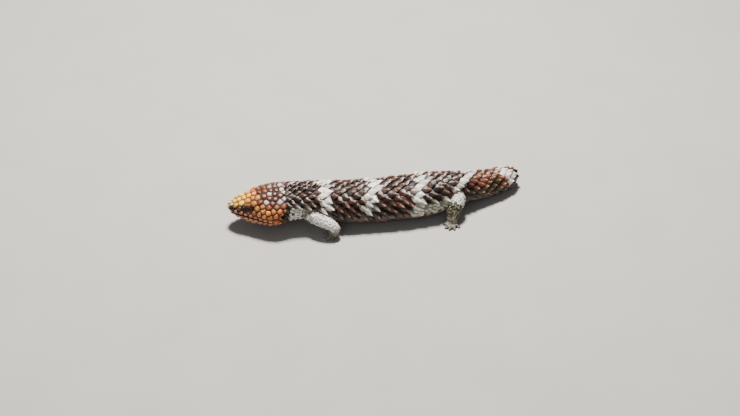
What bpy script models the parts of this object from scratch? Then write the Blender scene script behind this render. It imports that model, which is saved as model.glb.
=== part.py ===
"""Shingleback skink, life size, walking slowly with its belly on the ground.

Metres, +Z up, the head towards -X, the animal's left side towards -Y, the ground at Z 0.
Every surface of the body is a point on one skin, given by a distance along the back and a
turn round it, so that scutes, legs, eyes and cuts are all placed from the same few sizes.
"""

import math
import random

import bmesh
import bpy
import numpy as np
from mathutils import Matrix, Vector

MM = 0.001
SLIT = 0.3 * MM  # kept between nodes that touch
SLIVER = 0.04 * MM  # corners closer than this are one corner
BODY_LENGTH = 344.0 * MM  # snout to tail tip, along the back
MIDDLE = Vector((-0.8, 14.9, 0.0)) * MM  # moves the middle of the animal's outline over the origin

# Distance along the back, half width, top and underside of the body under its scutes, all in mm.
GIRTH = (
    (0, 2.3, 27.8, 23.6),
    (3, 6.4, 30.0, 19.6),
    (9, 10.8, 32.6, 15.8),
    (20, 16.0, 36.8, 11.2),
    (34, 21.4, 42.6, 8.6),
    (48, 25.4, 45.0, 7.6),
    (60, 26.0, 45.2, 9.4),
    (72, 23.2, 46.0, 11.4),
    (86, 22.0, 46.2, 9.8),
    (104, 23.2, 45.4, 6.4),
    (125, 24.2, 43.6, 3.2),
    (155, 25.0, 42.4, -0.1),
    (190, 25.6, 42.4, -0.5),
    (222, 25.7, 42.4, -0.6),
    (244, 22.2, 41.6, 1.4),
    (260, 18.2, 39.8, 3.0),
    (275, 16.0, 36.6, 2.4),
    (292, 15.0, 31.8, 0.3),
    (310, 14.1, 28.6, -0.5),
    (324, 12.5, 26.2, -0.4),
    (335, 9.0, 22.8, 0.8),
    (341, 5.2, 18.2, 4.0),
    (344, 1.6, 13.5, 8.7),
)
# Distance along the back in mm, and the heading of the back there, in degrees.
HEADING = (
    (0, -10), (60, -8), (130, -6), (180, -3.5), (225, 0), (262, 9), (290, 13), (320, 17.5), (344, 28),
)
# Distance in mm, roundness of the back and of the belly (2 is an ellipse), and the share of the
# height at which the body is widest.
SECTION = (
    (0, 2.2, 2.2, 0.48),
    (30, 2.3, 2.4, 0.40),
    (60, 2.2, 2.2, 0.42),
    (95, 2.1, 2.1, 0.45),
    (160, 2.1, 2.3, 0.44),
    (235, 2.1, 2.2, 0.44),
    (290, 2.0, 2.1, 0.46),
    (344, 2.0, 2.0, 0.50),
)
# Swellings of the head: distance in mm, turn in degrees, reach along, spread round, and height in mm.
SWELLS = (
    (24, 38, 9, 13, 1.2),  # brow over the eye
    (24, 59, 7, 12, -1.3),  # hollow that holds the eye
    (52, 84, 14, 26, 1.8),  # jaw muscle
    (13, 0, 8, 40, -0.6),  # dip of the snout between nostrils and brow
)
HEAD_END, NECK_END, TORSO_END = 66.0 * MM, 79.5 * MM, 268.0 * MM

# The mouth, as distance from the snout and height in mm, and how far back and down its hinge lies.
MOUTH = ((-12, 20.6), (0, 21.2), (14, 22.6), (25, 21.9), (38, 20.0), (50, 19.4))
JAW_HINGE = (62, 3.0)
MOUTH_CLEARANCE = 0.5 * MM  # plates nearer to the mouth's height than this would reach across it
JAW_CUT_DOWN, JAW_CUT_SIDE = 9.0 * MM, 40.0 * MM  # how far the cut reaches past chin and cheeks
EYE_AT, EYE_TURN, EYE_RADIUS, EYE_DEPTH = 23.0 * MM, math.radians(57), 3.9 * MM, 2.6 * MM
LID_RADIUS, LID_THICKNESS, LID_SQUASH, LID_CORNERS = 4.1 * MM, 1.2 * MM, 0.8, 12
LID_DEPTH, LID_ROOT, LID_FLARE = 0.65 * MM, 1.8 * MM, 0.35  # middle and root under the skin, slope
NOSTRIL_AT, NOSTRIL_TURN, NOSTRIL_SIZE = 5.5 * MM, math.radians(62), (1.4 * MM, 1.0 * MM, 1.8 * MM)
EAR_AT, EAR_TURN, EAR_SIZE = 61.5 * MM, math.radians(84), (1.5 * MM, 3.0 * MM, 3.0 * MM)

# A scute's outline: rearward and sideways as shares of its length and width, and share of its height.
# Its front is sunk in the skin, and its rear point stands free over the next row.
SCUTE = (
    (-0.45, 0.0, -0.12),
    (0.0, 0.44, 0.42),
    (0.28, 0.23, 0.82),
    (0.48, 0.0, 0.94),
    (0.28, -0.23, 0.82),
    (0.0, -0.44, 0.42),
)
SCUTE_CROWN = (0.16, 0.0, 1.16)
SCUTE_PITCH, SCUTE_LENGTH, SCUTE_HEIGHT = 9.8 * MM, 19.0 * MM, 2.8 * MM
ROOT, ROOT_SHARE = 2.0 * MM, 0.8  # how deep a plate's root is sunk, and its width as a share
CLOSING, SHRINKING = 0.028, 0.045  # what spacing and size lose with each column down the flank
STRAY_ALONG, STRAY_ROUND, STRAY_SIZE = 0.25 * MM, 0.2 * MM, 0.03  # how far a plate is off its place
# Distance along the back in mm, and there the width of a scute in mm, the turn of the lowest
# scute in degrees, and the pitch of the rows as a share of the pitch at mid body.
SCUTE_WIDTH = ((66, 11.0), (95, 13.0), (160, 14.2), (235, 14.0), (270, 12.4), (344, 10.2))
LOWEST_SCUTE = ((66, 60), (80, 66), (110, 92), (250, 93), (290, 105), (344, 110))
ROW_SHARE = ((66, 0.85), (100, 1.0), (250, 1.0), (280, 0.92), (344, 0.82))
FIRST_ROW, LAST_ROW = 70.0 * MM, 337.0 * MM
# By how much the points of the flank's scutes slant towards the belly, in degrees, for distances
# along the back in mm, and the turns in degrees from which and by which they do.
SCUTE_LEAN = ((66, 36), (262, 36), (292, 0), (344, 0))
LEAN_TURNS = (15, 58)

# A head shield is a low cobble with a groove all round it.
SHIELD = (
    (-0.47, 0.0, 0.45),
    (-0.22, 0.45, 0.45),
    (0.24, 0.45, 0.50),
    (0.47, 0.0, 0.50),
    (0.24, -0.45, 0.50),
    (-0.22, -0.45, 0.45),
)
SHIELD_CROWN = (0.02, 0.0, 1.0)
SHIELD_ROWS = (7, 14, 21.4, 29, 36.8, 44.8, 52.8, 60.4)  # distances of their rows in mm
SHIELD_LENGTH, SHIELD_HEIGHT = 9.8 * MM, 1.4 * MM
SHIELD_WIDTH = ((0, 6.8), (20, 8.2), (40, 10.0), (64, 10.6))
LOWEST_SHIELD = ((0, 70), (20, 84), (44, 86), (50, 112), (64, 116))
LIP_ROWS = (8.5, 15.4, 22.3, 29.2, 36.1, 43.0)
EYE_CLEAR, NOSTRIL_CLEAR, EAR_CLEAR = 6.2 * MM, 2.4 * MM, 4.0 * MM  # no shield's middle lies nearer
LIP_LENGTH, LIP_WIDTH, LIP_HEIGHT, LIP_OFFSET = 7.0 * MM, 4.0 * MM, 1.0 * MM, 2.9 * MM

# A leg's centre line and half thickness in mm: rearward and outward from the back line, and height.
SHOULDER_AT, HIP_AT = 89.0 * MM, 252.0 * MM
FORELEG_BACK = (
    (1, 16, 22.5, 8.2), (6, 22, 22, 7.7), (15.5, 28.5, 20, 6.8), (24.5, 32.5, 16.8, 6.0), (29.5, 34, 12, 5.1),
)
FORELEG_AHEAD = (
    (0, 16, 22, 8.0), (-4, 24, 21, 8.0), (-11, 33, 17.5, 7.0), (-18, 37.5, 12, 6.0), (-22, 39, 8.5, 5.2),
)
HIND_LEG_UNDER = (
    (3, 12, 22, 9.8), (1, 20, 21, 9.6), (-4, 26, 16, 8.2), (-7.5, 31, 10, 6.8), (-8.5, 33, 7.6, 6.0),
)
HIND_LEG_BACK = (
    (1, 12, 21, 9.2), (5, 20, 19.5, 9.0), (12, 27.5, 15, 7.6), (20, 31, 9.5, 6.2), (23.5, 32, 7.2, 5.6),
)
# The middle of each sole, and the tips of its toes from the first (inner) to the fifth, in mm.
FOREFOOT_BACK = ((27, 31.5), ((20.6, 25.0), (17.8, 28.8), (17.4, 33.6), (20.2, 37.4), (26, 38.8)))
FOREFOOT_AHEAD = ((-25.5, 40), ((-30.8, 33.6), (-34.1, 38.8), (-33.9, 44.3), (-29.8, 48.4), (-22.5, 48.4)))
HIND_FOOT_UNDER = ((-10, 35), ((-17, 33), (-18, 38), (-15.5, 42.3), (-10.5, 43.8), (-4.6, 41.5)))
HIND_FOOT_BACK = ((25.5, 34.5), ((17.5, 32.3), (17.3, 38.3), (19.9, 42.9), (25.3, 44.7), (32.1, 42.9)))
SOLE_RADII = (5.4 * MM, 5.4 * MM, 3.6 * MM)
SOLE_HEIGHT, ANKLE_OVERLAP, ANKLE_AHEAD, ANKLE_TAPER = 3.4 * MM, 1.0 * MM, 2.0 * MM, 0.96
TOE_RADIUS, TOE_TIP_HEIGHT, TOE_TAPER = 1.65 * MM, 1.3 * MM, 0.85
KNUCKLE_AT, KNUCKLE_RISE = 0.62, 0.8 * MM  # share of the way to the toe's tip, and height over that way
CLAW_LENGTH, CLAW_OVERLAP, CLAW_DROP = 2.8 * MM, 1.0 * MM, 0.8 * MM
CLAW_RADIUS, CLAW_TIP_RADIUS = 1.0 * MM, 0.3 * MM

# Distances in mm at which each length of the body has a section, and the sides of its sections.
HEAD_SECTIONS = (0, 1.2, 3.5, 7, 11, *range(16, 67, 5), 72)
NECK_SECTIONS = (61, 67, 73, 79, 85)
TORSO_SECTIONS = tuple(range(74, 275, 10))
TAIL_SECTIONS = (*range(263, 327, 9), 328, 335, 340, 343, 344)
BODY_SIDES, TAIL_SIDES = 20, 16

# Colours are linear, with roughness.
ORANGE_HORN = (0.62, 0.25, 0.08, 0.55)
BROWN_HORN = (0.10, 0.045, 0.030, 0.45)
CREAM_SKIN = (0.52, 0.47, 0.38, 0.65)
OLIVE_SKIN = (0.30, 0.28, 0.20, 0.65)
EYE_BROWN = (0.020, 0.010, 0.008, 0.15)


def clear_scene():
    for old in list(bpy.data.objects):
        bpy.data.objects.remove(old, do_unlink=True)


def new_collection(name):
    made = bpy.data.collections.new(name)
    bpy.context.scene.collection.children.link(made)
    return made


def material(name, look):
    made = bpy.data.materials.new(name)
    made.use_nodes = True
    shader = made.node_tree.nodes["Principled BSDF"]
    shader.inputs["Base Color"].default_value = (*look[:3], 1.0)
    shader.inputs["Roughness"].default_value = look[3]
    shader.inputs["Metallic"].default_value = 0.0
    return made


def reads(table, at, unit=MM):
    """A small table's value at a distance along the back."""
    rows = np.array(table, float)
    return float(np.interp(at / MM, rows[:, 0], rows[:, 1])) * unit


def smooth(table, at):
    """A table's columns at values of its first one, along one smooth curve through its rows."""
    rows = np.array(table, float)
    x, y = rows[:, 0], rows[:, 1:]
    slope = np.gradient(y, x, axis=0)
    at = np.clip(np.asarray(at, float), x[0], x[-1])
    i = np.clip(np.searchsorted(x, at) - 1, 0, len(x) - 2)
    step = x[i + 1] - x[i]
    t = ((at - x[i]) / step)[..., None]
    step = step[..., None]
    return (
        (2 * t**3 - 3 * t**2 + 1) * y[i]
        + (t**3 - 2 * t**2 + t) * step * slope[i]
        + (3 * t**2 - 2 * t**3) * y[i + 1]
        + (t**3 - t**2) * step * slope[i + 1]
    )


def back_line():
    """Points along the back on the ground with its heading, the straight way from end to end along X."""
    along = np.linspace(0, BODY_LENGTH, 689)
    heading = np.radians(smooth(HEADING, along / MM)[:, 0])
    steps = np.stack([np.cos(heading), np.sin(heading)], -1) * (along[1] - along[0])
    line = np.vstack([[0, 0], np.cumsum((steps[1:] + steps[:-1]) / 2, axis=0)])
    line -= (line[0] + line[-1]) / 2
    turn = -math.atan2(line[-1, 1] - line[0, 1], line[-1, 0] - line[0, 0])
    c, s = math.cos(turn), math.sin(turn)
    return along, line @ np.array([[c, s], [-s, c]]) + np.array(MIDDLE[:2]), heading + turn


BACK_ALONG, BACK_LINE, BACK_HEADING = back_line()


def spine(at):
    """The point on the ground under the back at a distance along it, and the heading there."""
    place = np.stack([np.interp(at, BACK_ALONG, BACK_LINE[:, k]) for k in (0, 1)], -1)
    return place, np.interp(at, BACK_ALONG, BACK_HEADING)


def beside(at, rear, out, up):
    """A point rearward of, leftward of and above the back line at a distance along it."""
    place, heading = spine(at)
    c, s = math.cos(heading), math.sin(heading)
    return Vector((place[0] + rear * c + out * s, place[1] + rear * s - out * c, up))


def bare_skin(at, turn):
    """Points of the skin without swellings. Turn 0 is the middle of the back, and + is the left side."""
    at, turn = np.broadcast_arrays(np.asarray(at, float), np.asarray(turn, float))
    half, top, under = np.moveaxis(smooth(GIRTH, at / MM), -1, 0) * MM
    upper, lower, widest = np.moveaxis(smooth(SECTION, at / MM), -1, 0)
    middle = under + (top - under) * widest
    across, up = np.sin(turn), np.cos(turn)
    power = 2 / np.where(up > 0, upper, lower)
    side = half * np.sign(across) * np.abs(across) ** power
    rise = np.where(up > 0, top - middle, middle - under) * np.sign(up) * np.abs(up) ** power
    place, heading = spine(at)
    x = place[..., 0] + side * np.sin(heading)
    y = place[..., 1] - side * np.cos(heading)
    return np.stack([x, y, middle + rise], -1)


def outward(surface, at, turn):
    """The direction straight out of a surface that is given by distance and turn."""
    nudge, tip = 0.4 * MM, 0.03
    along = surface(at + nudge, turn) - surface(at - nudge, turn)
    around = surface(at, turn + tip) - surface(at, turn - tip)
    out = np.cross(around, along)
    return out / (np.linalg.norm(out, axis=-1, keepdims=True) + 1e-12)


def skin(at, turn):
    """Points of the skin, with the swellings of the head."""
    at, turn = np.broadcast_arrays(np.asarray(at, float), np.asarray(turn, float))
    height = np.zeros(at.shape)
    for place, angle, reach, spread, rise in SWELLS:
        for side in (1, -1) if angle else (1,):
            far = (at - place * MM) / (reach * MM)
            off = (turn - side * math.radians(angle)) / math.radians(spread)
            height += rise * MM * np.exp(-(far**2) - off**2)
    return bare_skin(at, turn) + outward(bare_skin, at, turn) * height[..., None]


# Arc lengths round the skin from the middle of the back, on a grid of distances and turns.
GRID_AT = np.linspace(0, BODY_LENGTH, 87)
GRID_TURN = np.linspace(0, math.pi, 61)
GRID_STEPS = np.linalg.norm(np.diff(skin(GRID_AT[:, None], GRID_TURN[None]), axis=1), axis=2)
GRID_RUN = np.hstack([np.zeros((len(GRID_AT), 1)), GRID_STEPS.cumsum(axis=1)])


def runs_at(at):
    """Arc lengths to each turn of the grid, at one distance."""
    place = min(max(at, 0) / BODY_LENGTH, 1) * (len(GRID_AT) - 1)
    low = min(int(place), len(GRID_AT) - 2)
    return GRID_RUN[low] * (low + 1 - place) + GRID_RUN[low + 1] * (place - low)


def turn_at(at, arc):
    return math.copysign(float(np.interp(abs(arc), runs_at(at), GRID_TURN)), arc)


def arc_at(at, turn):
    return math.copysign(float(np.interp(abs(turn), GRID_TURN, runs_at(at))), turn)


def add_mesh(name, shell, collection):
    data = bpy.data.meshes.new(name)
    bmesh.ops.recalc_face_normals(shell, faces=shell.faces)
    shell.to_mesh(data)
    shell.free()
    made = bpy.data.objects.new(name, data)
    collection.objects.link(made)
    return made


def solid(name, points, faces, collection):
    shell = bmesh.new()
    corners = [shell.verts.new(p) for p in points]
    for face in faces:
        shell.faces.new([corners[k] for k in face])
    return add_mesh(name, shell, collection)


def loft(name, rings, collection):
    """A closed body through rings of points that match one another."""
    count = len(rings[0])
    faces = [tuple(range(count)), tuple(range((len(rings) - 1) * count, len(rings) * count))]
    for start in range(0, (len(rings) - 1) * count, count):
        for k in range(count):
            a, b = start + k, start + (k + 1) % count
            faces.append((a, b, b + count, a + count))
    return solid(name, [p for ring in rings for p in ring], faces, collection)


def trunk(name, distances, sides, collection):
    """A length of the body through a section at each distance along the back."""
    turns = (np.arange(sides) + 0.5) * 2 * math.pi / sides
    turns = (turns + math.pi) % (2 * math.pi) - math.pi
    return loft(name, [skin(np.full(sides, at), turns) for at in distances], collection)


def tube(name, rows, collection, swell=0.0, resolution=2):
    """A tapering tube with flat ends, along points that each have a radius."""
    line = bpy.data.curves.new(name, "CURVE")
    line.dimensions = "3D"
    line.bevel_depth = 1.0
    line.bevel_resolution = resolution
    line.use_fill_caps = True
    path = line.splines.new("POLY")
    path.points.add(len(rows) - 1)
    for point, row in zip(path.points, rows):
        point.co = (*row[:3], 1.0)
        point.radius = row[3] + swell
    curve = bpy.data.objects.new(name, line)
    collection.objects.link(curve)
    graph = bpy.context.evaluated_depsgraph_get()
    data = bpy.data.meshes.new_from_object(curve.evaluated_get(graph))
    bpy.data.objects.remove(curve, do_unlink=True)
    shell = bmesh.new()
    shell.from_mesh(data)
    bpy.data.meshes.remove(data)
    bmesh.ops.remove_doubles(shell, verts=shell.verts, dist=0.01 * MM)
    return add_mesh(name, shell, collection)


def smooth_path(points, steps):
    """Evenly spaced rows along a smooth line through points with radii."""
    points = np.array(points, float)
    run = np.append(0, np.linalg.norm(np.diff(points[:, :3], axis=0), axis=1).cumsum())
    return smooth(np.column_stack([run, points]), np.linspace(0, run[-1], steps))


def ball(name, frame, radii, collection, rings=8, segments=12):
    shell = bmesh.new()
    bmesh.ops.create_uvsphere(shell, u_segments=segments, v_segments=rings, radius=1.0)
    bmesh.ops.transform(shell, matrix=frame @ Matrix.Diagonal((*radii, 1.0)), verts=shell.verts)
    return add_mesh(name, shell, collection)


def box(name, low, high, frame, collection):
    """A block between two corners, in a frame of its own."""
    shell = bmesh.new()
    bmesh.ops.create_cube(shell, size=1.0)
    low, high = Vector(low), Vector(high)
    fit = Matrix.Translation((low + high) / 2) @ Matrix.Diagonal((*(high - low), 1.0))
    bmesh.ops.transform(shell, matrix=frame @ fit, verts=shell.verts)
    return add_mesh(name, shell, collection)


def skin_frame(at, turn, depth=0.0):
    """A frame on the skin or under it: its X rearward along the body, its Z straight out."""
    out = Vector(outward(skin, at, turn))
    rear = Vector(skin(at + MM, turn) - skin(at - MM, turn))
    rear = (rear - out * rear.dot(out)).normalized()
    frame = Matrix((rear, out.cross(rear), out)).transposed().to_4x4()
    frame.translation = Vector(skin(at, turn)) - out * depth
    return frame


def combine(target, pieces, operation, solver="EXACT"):
    """Joins a collection's bodies to the target, or cuts with them, and removes them."""
    change = target.modifiers.new("combine", "BOOLEAN")
    change.operation = operation
    change.solver = solver
    change.operand_type = "COLLECTION"
    change.collection = pieces
    graph = bpy.context.evaluated_depsgraph_get()
    joined = bpy.data.meshes.new_from_object(target.evaluated_get(graph))
    target.modifiers.clear()
    old, target.data = target.data, joined
    bpy.data.meshes.remove(old)
    for used in list(pieces.objects):
        bpy.data.objects.remove(used, do_unlink=True)
    bpy.data.collections.remove(pieces)


def keep_largest(target):
    """Leaves only the largest closed surface, without slivers, loose scraps or sealed hollows."""
    shell = bmesh.new()
    shell.from_mesh(target.data)
    bmesh.ops.triangulate(shell, faces=shell.faces)
    bmesh.ops.remove_doubles(shell, verts=shell.verts, dist=SLIVER)
    left, groups = set(shell.faces), []
    while left:
        group, rim = [], [left.pop()]
        while rim:
            face = rim.pop()
            group.append(face)
            for near in (f for e in face.edges if len(e.link_faces) == 2 for f in e.link_faces):
                if near in left:
                    left.discard(near)
                    rim.append(near)
        groups.append(group)
    groups.sort(key=lambda g: sum(f.calc_area() for f in g))
    bmesh.ops.delete(shell, geom=[f for g in groups[:-1] for f in g], context="FACES")
    bmesh.ops.delete(shell, geom=[v for v in shell.verts if not v.link_faces], context="VERTS")
    shell.to_mesh(target.data)
    shell.free()


def finish(target, look):
    """Keeps the largest surface, and sets its material and shading."""
    keep_largest(target)
    target.data.name = target.name
    target.data.materials.clear()
    target.data.materials.append(look)
    target.data.shade_smooth()
    target.data.set_sharp_from_angle(angle=math.radians(38))


def cut_at_ground(target):
    blocks = new_collection("blocks")
    far = 600 * MM
    box("ground", (-far, -far, -far), (far, far, 0), Matrix.Identity(4), blocks)
    combine(target, blocks, "DIFFERENCE", "MANIFOLD")


def cut_to_length(target, start, end):
    """Ends a length of the body half a slit short of two distances along the back."""
    blocks = new_collection("blocks")
    far, half = 200 * MM, SLIT / 2
    for at, low, high in ((start, -far, half), (end, -half, far)):
        if at is not None:
            place, heading = spine(at)
            across = Matrix.Translation((*place, 0)) @ Matrix.Rotation(float(heading), 4, "Z")
            box("past_end", (low, -far, -far), (high, far, far), across, blocks)
    combine(target, blocks, "DIFFERENCE", "MANIFOLD")


def plate(at, arc, outline, crown, size, collection, lean=0.0):
    """A raised plate whose middle is at a distance along the back and an arc round the skin, and
    whose rear end leans towards the belly by an angle in degrees."""
    rear, over, lift = np.array([*outline, crown]).T * np.array(size)[:, None]
    slant = math.radians(math.copysign(lean, arc))
    straight = rear
    rear = straight * math.cos(slant) - over * math.sin(slant)
    over = straight * math.sin(slant) + over * math.cos(slant)
    count = len(outline)
    rear = at + np.append(rear, rear[:count] * ROOT_SHARE)
    over = arc + np.append(over, over[:count] * ROOT_SHARE)
    lift = np.append(lift, np.full(count, -ROOT))
    turns = np.array([turn_at(a, r) for a, r in zip(rear, over)])
    points = skin(rear, turns) + outward(skin, rear, turns) * lift[:, None]
    low = count + 1
    faces = [(k, (k + 1) % count, count) for k in range(count)]
    faces += [(k, (k + 1) % count, low + (k + 1) % count, low + k) for k in range(count)]
    faces.append(tuple(range(low, low + count)))
    return solid("plate", points, faces, collection)


def staggered(rows, width_table, lowest_table, chance):
    """Places on both sides of the back, each row half a plate off the last: distance, arc and size."""
    for row, at in enumerate(rows):
        lowest = arc_at(at, math.radians(reads(lowest_table, at, 1)))
        column = 0.5 * (row % 2)
        while True:
            arc = reads(width_table, at) * (column - CLOSING * column**2)
            if arc > lowest:
                break
            for side in (1, -1) if column else (1,):
                stray = [chance.uniform(-1, 1) for _ in range(3)]
                size = (1 - SHRINKING * column) * (1 + STRAY_SIZE * stray[2])
                yield at + stray[0] * STRAY_ALONG, side * arc + stray[1] * STRAY_ROUND, size
            column += 1


def scute_rows():
    at = FIRST_ROW
    while at < LAST_ROW:
        yield at
        at += SCUTE_PITCH * reads(ROW_SHARE, at, 1)


def add_scutes(body, start, end):
    """Raises on a length of the body every scute that reaches into it."""
    pieces = new_collection("pieces")
    for at, arc, size in staggered(scute_rows(), SCUTE_WIDTH, LOWEST_SCUTE, random.Random(7)):
        if start - SCUTE_LENGTH / 2 < at < end + SCUTE_LENGTH / 2:
            width = reads(SCUTE_WIDTH, at) * size
            length = SCUTE_LENGTH * reads(ROW_SHARE, at, 1) * (1 + size) / 2
            down = np.interp(math.degrees(abs(turn_at(at, arc))), LEAN_TURNS, (0, 1))
            lean = reads(SCUTE_LEAN, at, 1) * down
            plate(at, arc, SCUTE, SCUTE_CROWN, (length, width, SCUTE_HEIGHT * size), pieces, lean)
    combine(body, pieces, "UNION", "MANIFOLD")


def mouth_arc(at, side):
    """The arc at which the skin meets the height of the mouth."""
    height = reads(MOUTH, at)
    turns = np.linspace(math.radians(40), math.radians(150), 60)
    heights = skin(np.full(60, at), turns)[:, 2]
    return side * arc_at(at, float(np.interp(-height, -heights, turns)))


def crosses_mouth(at, arc, length, width):
    """Whether a plate would reach across the cut between head and lower jaw."""
    over = []
    for rear, side in ((-0.5, 0), (0.5, 0), (0, -0.5), (0, 0.5)):
        place = at + rear * length
        height = skin(place, turn_at(place, arc + side * width))[2]
        over.append(height - reads((*MOUTH, JAW_HINGE), place))
    return min(over) < MOUTH_CLEARANCE and max(over) > -MOUTH_CLEARANCE


def add_shields(head):
    """Cobbled shields over the head, and a row of lip shields above and below the mouth."""
    pieces = new_collection("pieces")
    chance = random.Random(3)
    rows = [r * MM for r in SHIELD_ROWS]
    clear = (
        (EYE_AT, EYE_TURN, EYE_CLEAR),
        (NOSTRIL_AT, NOSTRIL_TURN, NOSTRIL_CLEAR),
        (EAR_AT, EAR_TURN, EAR_CLEAR),
    )
    for at, arc, size in staggered(rows, SHIELD_WIDTH, LOWEST_SHIELD, chance):
        if all(math.hypot(at - a, abs(arc) - arc_at(a, t)) > reach for a, t, reach in clear):
            width = reads(SHIELD_WIDTH, at) * size
            if not crosses_mouth(at, arc, SHIELD_LENGTH, width):
                plate(at, arc, SHIELD, SHIELD_CROWN, (SHIELD_LENGTH, width, SHIELD_HEIGHT), pieces)
    for side in (1, -1):
        for at in LIP_ROWS:
            for above in (1, -1):
                arc = mouth_arc(at * MM, side) - side * above * LIP_OFFSET
                plate(at * MM, arc, SHIELD, SHIELD_CROWN, (LIP_LENGTH, LIP_WIDTH, LIP_HEIGHT), pieces)
    combine(head, pieces, "UNION", "MANIFOLD")


def add_lids(head):
    """A raised rim of lid round each eye."""
    lids = new_collection("lids")
    angles = [2 * math.pi * k / LID_CORNERS for k in range(LID_CORNERS)]
    oval = [(LID_RADIUS * math.cos(a), LID_RADIUS * LID_SQUASH * math.sin(a)) for a in angles]
    for side in (1, -1):
        frame = skin_frame(EYE_AT, side * EYE_TURN, LID_DEPTH)
        rim = [frame @ Vector((x, y, LID_THICKNESS)) for x, y in oval]
        wide = 1 + LID_FLARE
        root = [frame @ Vector((x * wide, y * wide, -LID_ROOT)) for x, y in oval]
        loft("lid", [rim, root], lids)
    combine(head, lids, "UNION", "MANIFOLD")


def jaw_block(swell, collection):
    """All that lies below the mouth, across the whole head."""
    outline = [(at * MM, up * MM + swell) for at, up in MOUTH]
    hinge = JAW_HINGE[0] * MM + swell
    outline += [(hinge, JAW_HINGE[1] * MM), (hinge, -JAW_CUT_DOWN), (MOUTH[0][0] * MM, -JAW_CUT_DOWN)]
    sides = (-JAW_CUT_SIDE, JAW_CUT_SIDE)
    rings = [[beside(max(at, 0), min(at, 0), out, up) for at, up in outline] for out in sides]
    return loft("below_mouth", rings, collection)


def eye_ball(side, swell, collection, rings=6, segments=10):
    radius = EYE_RADIUS + swell
    frame = skin_frame(EYE_AT, side * EYE_TURN, EYE_DEPTH)
    return ball("eye", frame, (radius, radius, radius), collection, rings, segments)


def make_head(animal, horn, eye_look):
    """The head with its shields and lids, the lower jaw parted from it, and the eyes set in it."""
    head = trunk("head", np.array(HEAD_SECTIONS) * MM, BODY_SIDES, animal)
    add_shields(head)
    add_lids(head)
    jaw = bpy.data.objects.new("lower_jaw", head.data.copy())
    animal.objects.link(jaw)
    below = new_collection("below")
    jaw_block(-SLIT / 2, below)
    combine(jaw, below, "INTERSECT", "MANIFOLD")
    cuts = new_collection("cuts")
    jaw_block(SLIT / 2, cuts)
    for side in (1, -1):
        eye_ball(side, SLIT, cuts)
        ball("nostril", skin_frame(NOSTRIL_AT, side * NOSTRIL_TURN), NOSTRIL_SIZE, cuts, 6, 8)
        ball("ear", skin_frame(EAR_AT, side * EAR_TURN), EAR_SIZE, cuts, 6, 10)
    combine(head, cuts, "DIFFERENCE", "MANIFOLD")
    cut_to_length(head, None, HEAD_END)
    finish(head, horn)
    finish(jaw, horn)
    for side, name in ((1, "eye_left"), (-1, "eye_right")):
        eye = eye_ball(side, 0, animal)
        eye.name = name
        finish(eye, eye_look)


def leg_rows(at, side, path):
    rows = [(*beside(at, r * MM, side * o * MM, u * MM), w * MM) for r, o, u, w in path]
    return smooth_path(rows, 9)


def leg_socket(at, side, path, collection):
    """A leg, a slit thicker and longer at both ends."""
    rows = leg_rows(at, side, path)
    for end, next_ in ((0, 1), (-1, -2)):
        way = rows[end, :3] - rows[next_, :3]
        rows[end, :3] += way / np.linalg.norm(way) * SLIT
    return tube("socket", rows, collection, SLIT)


def make_leg(name, at, side, path, look, animal):
    leg = tube(name, leg_rows(at, side, path), animal)
    finish(leg, look)


def add_toe(sole, tip, pieces):
    """A short toe from the middle of the sole, and its claw."""
    way = (tip - sole).normalized()
    knuckle = sole.lerp(tip, KNUCKLE_AT) + Vector((0, 0, KNUCKLE_RISE))
    rows = [(*sole, TOE_RADIUS), (*knuckle, TOE_RADIUS), (*tip, TOE_RADIUS * TOE_TAPER)]
    tube("toe", rows, pieces, resolution=1)
    point = tip + way * CLAW_LENGTH - Vector((0, 0, CLAW_DROP))
    rows = [(*(tip - way * CLAW_OVERLAP), CLAW_RADIUS), (*point, CLAW_TIP_RADIUS)]
    tube("claw", rows, pieces, resolution=0)


def make_foot(name, at, side, path, foot, look, animal):
    """A foot with five short toes, from the ankle down to flats on the ground."""
    rows = leg_rows(at, side, path)
    ankle, radius = Vector(rows[-1][:3]), rows[-1][3]
    ahead = Vector(rows[-1][:3] - rows[-2][:3]).normalized()
    (rear, out), toes = foot
    sole = beside(at, rear * MM, side * out * MM, SOLE_HEIGHT)
    start, bend = ankle - ahead * ANKLE_OVERLAP, ankle + ahead * ANKLE_AHEAD
    target = tube(name, [(*start, radius), (*bend, radius * ANKLE_TAPER), (*sole, SOLE_HEIGHT)], animal)
    pieces = new_collection("pieces")
    ball("sole", Matrix.Translation(sole), SOLE_RADII, pieces, 6, 8)
    for rear, out in toes:
        add_toe(sole, beside(at, rear * MM, side * out * MM, TOE_TIP_HEIGHT), pieces)
    combine(target, pieces, "UNION", "MANIFOLD")
    leg = new_collection("leg")
    leg_socket(at, side, path, leg)
    combine(target, leg, "DIFFERENCE", "MANIFOLD")
    cut_at_ground(target)
    finish(target, look)


LEGS = (
    ("foreleg_left", "forefoot_left", SHOULDER_AT, 1, FORELEG_BACK, FOREFOOT_BACK),
    ("foreleg_right", "forefoot_right", SHOULDER_AT, -1, FORELEG_AHEAD, FOREFOOT_AHEAD),
    ("hind_leg_left", "hind_foot_left", HIP_AT, 1, HIND_LEG_UNDER, HIND_FOOT_UNDER),
    ("hind_leg_right", "hind_foot_right", HIP_AT, -1, HIND_LEG_BACK, HIND_FOOT_BACK),
)


def make_trunk(name, distances, sides, start, end, look, animal):
    """Neck, torso or tail: a length of the body with its scutes and the sockets of the legs."""
    body = trunk(name, np.array(distances) * MM, sides, animal)
    add_scutes(body, start, end)
    sockets = new_collection("sockets")
    for _, _, at, side, path, _ in LEGS:
        leg_socket(at, side, path, sockets)
    combine(body, sockets, "DIFFERENCE", "MANIFOLD")
    cut_to_length(body, start, end if end < BODY_LENGTH else None)
    cut_at_ground(body)
    finish(body, look)


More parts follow.
